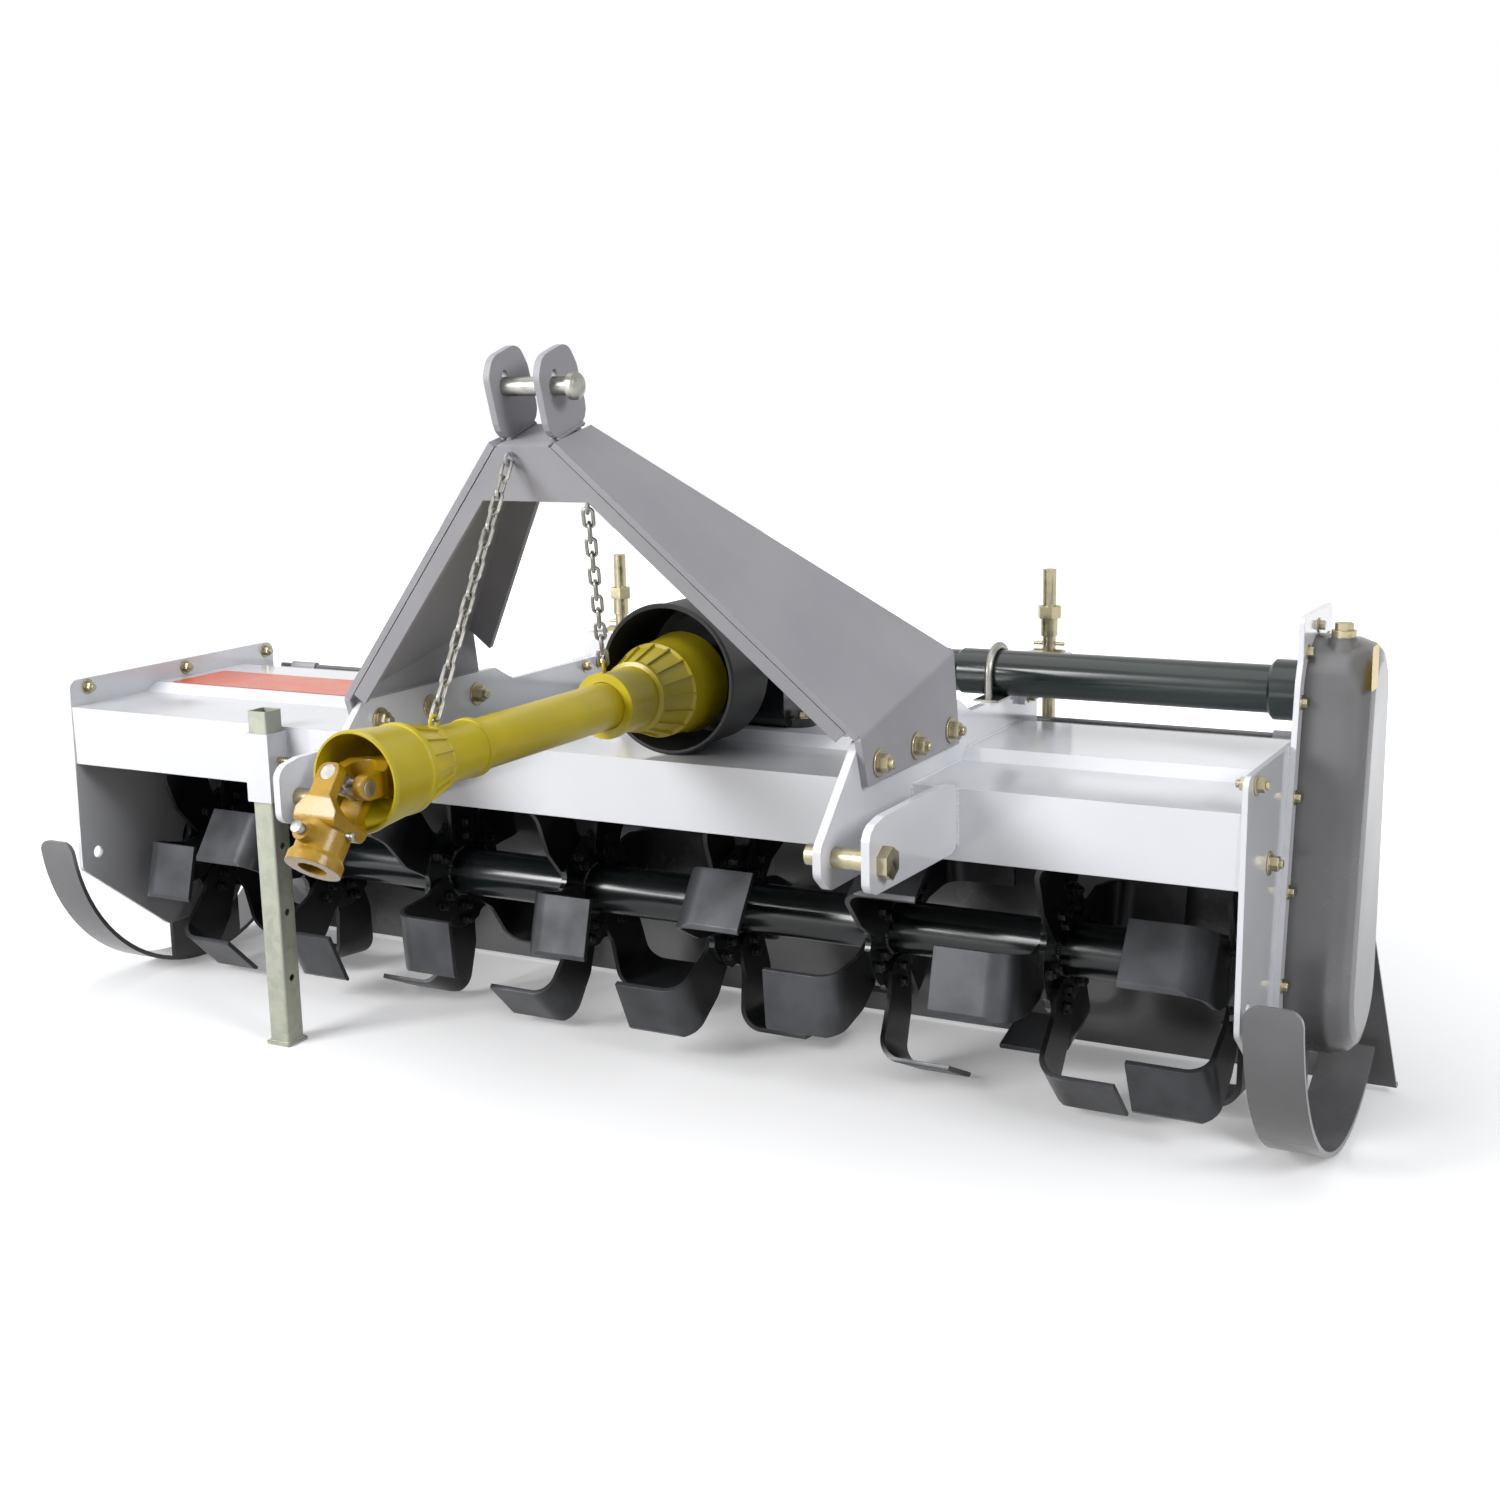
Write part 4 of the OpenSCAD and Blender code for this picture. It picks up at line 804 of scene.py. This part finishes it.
hitch_seams = []
for side in SIDES:
    for face in (-PLATE_HALF, PLATE_HALF):
        rib_x = HITCH_X + side * (RIB_X + face)
        cheek_x = HITCH_X + side * (CHEEK_X + face)
        hitch_seams += [lip_seam(rib_x, LIP_WELD_LOW, RIB_WELD_TOP),
                        deck_seam(rib_x, FRONT_RUN, DECK_FRONT),
                        deck_seam(rib_x, TOP_RUN, DECK_TOP),
                        lip_seam(cheek_x, LIP_WELD_LOW, CHEEK_WELD_TOP)]
hitch_seams += [lip_seam(LEG_X + side * SLEEVE_HALF, *SLEEVE_WELD) for side in SIDES]
weld_group("hitch_welds", "frame", hitch_seams, 0.0036, "white_paint")

# %% [markdown]
# The other welds follow pieces that lean, move or are round: the ears on the sloping head, the leg on
# its foot, and a ring on each side of every flange. A ring is a seam of short straight runs, so the same
# function lays it.

# %% Weld beads on the mast, the leg and the rotor
HEAD = at_lip(HITCH_X, -0.285, 0.95075)
HEAD_TILT = math.radians(17.5)
EAR_FACES, EAR_RUN, EAR_FOOT = (-0.044, -0.034, 0.034, 0.044), (0.022, 0.084), 0.079
PAD_TOP = 0.0045
TUBE_R, ARC_STEPS = 0.0435, 12


def on_head(x, back, up):
    """A point on the mast's head, which leans forward with the arms."""
    return HEAD + Vector((x, back * math.cos(HEAD_TILT) - up * math.sin(HEAD_TILT),
                          back * math.sin(HEAD_TILT) + up * math.cos(HEAD_TILT)))


def chained(points):
    return list(zip(points, points[1:]))


ear_seams = [tuple(on_head(x, back, EAR_FOOT) for back in EAR_RUN) for x in EAR_FACES]
weld_group("ear_welds", "frame", ear_seams, 0.0042, "grey_paint")

corners = [at_lip(LEG_X + a * LEG_HALF, LEG_Y + b * LEG_HALF, PAD_TOP)
           for a, b in ((-1, -1), (1, -1), (1, 1), (-1, 1), (-1, -1))]
weld_group("leg_pad_welds", "leg", chained(corners), 0.0032, "galvanised")

ring = [Vector((0, math.cos(math.tau * i / ARC_STEPS), math.sin(math.tau * i / ARC_STEPS))) * TUBE_R
        for i in range(ARC_STEPS + 1)]
rotor_seams = []
for flange in range(FLANGES):
    for side in SIDES:
        middle = ROTOR + Vector((flange_x(flange) + side * FLANGE_T / 2, 0, 0))
        rotor_seams += chained([middle + point for point in ring])
weld_group("rotor_welds", "rotor", rotor_seams, 0.0055, "black_paint")

# %% [markdown]
# The tractor-side yoke locks on the tractor's shaft with a spring pin, and its bearings are filled with
# grease through a small nipple. Each is a turned piece: a round foot, a neck and a round head. A spun
# outline would do; here the top face is drawn up and sized in a few steps, as one would by hand.

# %% Yoke button and grease nipple
FOOT_SHARE, FOOT_SIDES = 0.4, 12
DRAWN_UP = ((0.0, 0.5), (0.25, 0.85), (0.15, 1.35), (0.12, 0.95), (0.08, 0.55))
TOP_SLACK = 1e-6


def one_nipple(width, height):
    """A nipple along +Z: a round foot whose top is drawn in to a neck and out again to a round head."""
    deselect_everything()
    bpy.ops.mesh.primitive_cylinder_add(vertices=FOOT_SIDES, radius=width / 2, depth=height * FOOT_SHARE,
                                        location=(0, 0, height * FOOT_SHARE / 2))
    piece = bpy.context.object
    bpy.ops.object.transform_apply(location=True)
    bpy.ops.object.mode_set(mode="EDIT")
    bpy.ops.mesh.select_mode(type="FACE")
    for lift, share in DRAWN_UP:
        bm = bmesh.from_edit_mesh(piece.data)
        top = max(face.calc_center_median().z for face in bm.faces) - TOP_SLACK
        pick_faces(bm, lambda face: face.normal.z > FACING_UP and face.calc_center_median().z > top)
        bmesh.update_edit_mesh(piece.data)
        bpy.ops.mesh.extrude_region_move(TRANSFORM_OT_translate={"value": (0, 0, height * lift)})
        bpy.ops.transform.resize(value=(share, share, 1))
    bpy.ops.object.mode_set(mode="OBJECT")
    return piece


def nipple_group(name, body, places, width, height, slot):
    pattern = one_nipple(width, height)
    for i, (place, axis) in enumerate(places):
        piece = bpy.data.objects.new(f"{name}_{i}", pattern.data.copy())
        piece.data.transform(set_on(place, axis, 0.0))
        piece.data.materials.append(finishes[slot])
        bpy.context.scene.collection.objects.link(piece)
        deselect_everything()
        piece.select_set(True)
        bpy.context.view_layer.objects.active = piece
        bpy.ops.object.shade_smooth_by_angle(angle=math.radians(40))
        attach(piece, body)
    bpy.data.objects.remove(pattern)
    print(name, len(places))


DROOP = math.radians(52)
JOINT = at_lip(HITCH_X, -0.698, 0.650)
BUTTON_OUT, BUTTON_UP = 0.077, 0.0418
NIPPLE_OUT, NIPPLE_SIDE = 0.062, 0.0298
yoke_out = Vector((0, -math.cos(DROOP), -math.sin(DROOP)))
yoke_up = Vector((0, -math.sin(DROOP), math.cos(DROOP)))
nipple_group("lock_button", "tractor_end",
             [(JOINT + yoke_out * BUTTON_OUT + yoke_up * BUTTON_UP, yoke_up)],
             0.014, 0.012, "bright_zinc")
nipple_group("grease_nipple", "tractor_end",
             [(JOINT + yoke_out * NIPPLE_OUT + Vector((NIPPLE_SIDE, 0, 0)), (1, 0, 0))],
             0.008, 0.011, "bright_zinc")

# %% [markdown]
# Two stickers dress the machine: a long orange one on the left of the deck and a small yellow one on
# the chain case. A sticker could be a patch of colour in the paint, but a thin sheet with rounded
# corners has a real edge and can be moved.

# %% Stickers
STICKER_GAP, STICKER_T, STICKER_CORNER = 0.0003, 0.0004, 0.006
STICKER_DARK = 0.86


def sticker(name, corners, out, colour):
    """A thin sheet over four corners, 0.3 mm off its plate."""
    deselect_everything()
    bpy.ops.mesh.primitive_plane_add(size=1)
    sheet = bpy.context.object
    sheet.name = sheet.data.name = name
    order = (0, 1, 3, 2)
    for vertex, corner in zip(sheet.data.vertices, (corners[i] for i in order)):
        vertex.co = corner + Vector(out) * STICKER_GAP
    bpy.ops.object.mode_set(mode="EDIT")
    bpy.ops.mesh.select_all(action="SELECT")
    bpy.ops.mesh.bevel(offset=STICKER_CORNER, segments=4, affect="VERTICES")
    bpy.ops.mesh.select_all(action="SELECT")
    bpy.ops.mesh.extrude_region_move(TRANSFORM_OT_translate={"value": Vector(out) * STICKER_T})
    bpy.ops.mesh.select_all(action="SELECT")
    bpy.ops.mesh.normals_make_consistent(inside=False)
    bpy.ops.object.mode_set(mode="OBJECT")
    dark = tuple(c * STICKER_DARK for c in colour)
    sheet.data.materials.append(finish(name, colour, dark, (0.25, 0.36), blotch=18.0, coat=0.2, dust=0.06))
    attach(sheet, "frame")
    print(name, [round(v, 3) for v in sheet.dimensions])


deck_left, deck_right, deck_near, deck_far = -1.010, -0.440, 0.210, 0.350
sticker("deck_sticker", [at_lip(x, y, DECK_TOP) for x, y in (
    (deck_left, deck_near), (deck_right, deck_near), (deck_right, deck_far), (deck_left, deck_far))],
    (0, 0, 1), (0.70, 0.085, 0.006))

label_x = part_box("chain_case_cover")[1].x
label_near, label_low, label_w, label_h = 0.262, 0.668, 0.045, 0.062
sticker("case_label", [at_lip(label_x, label_near + a * label_w, label_low + b * label_h)
                       for a, b in ((0, 0), (1, 0), (1, 1), (0, 1))],
        (1, 0, 0), (0.80, 0.52, 0.01))
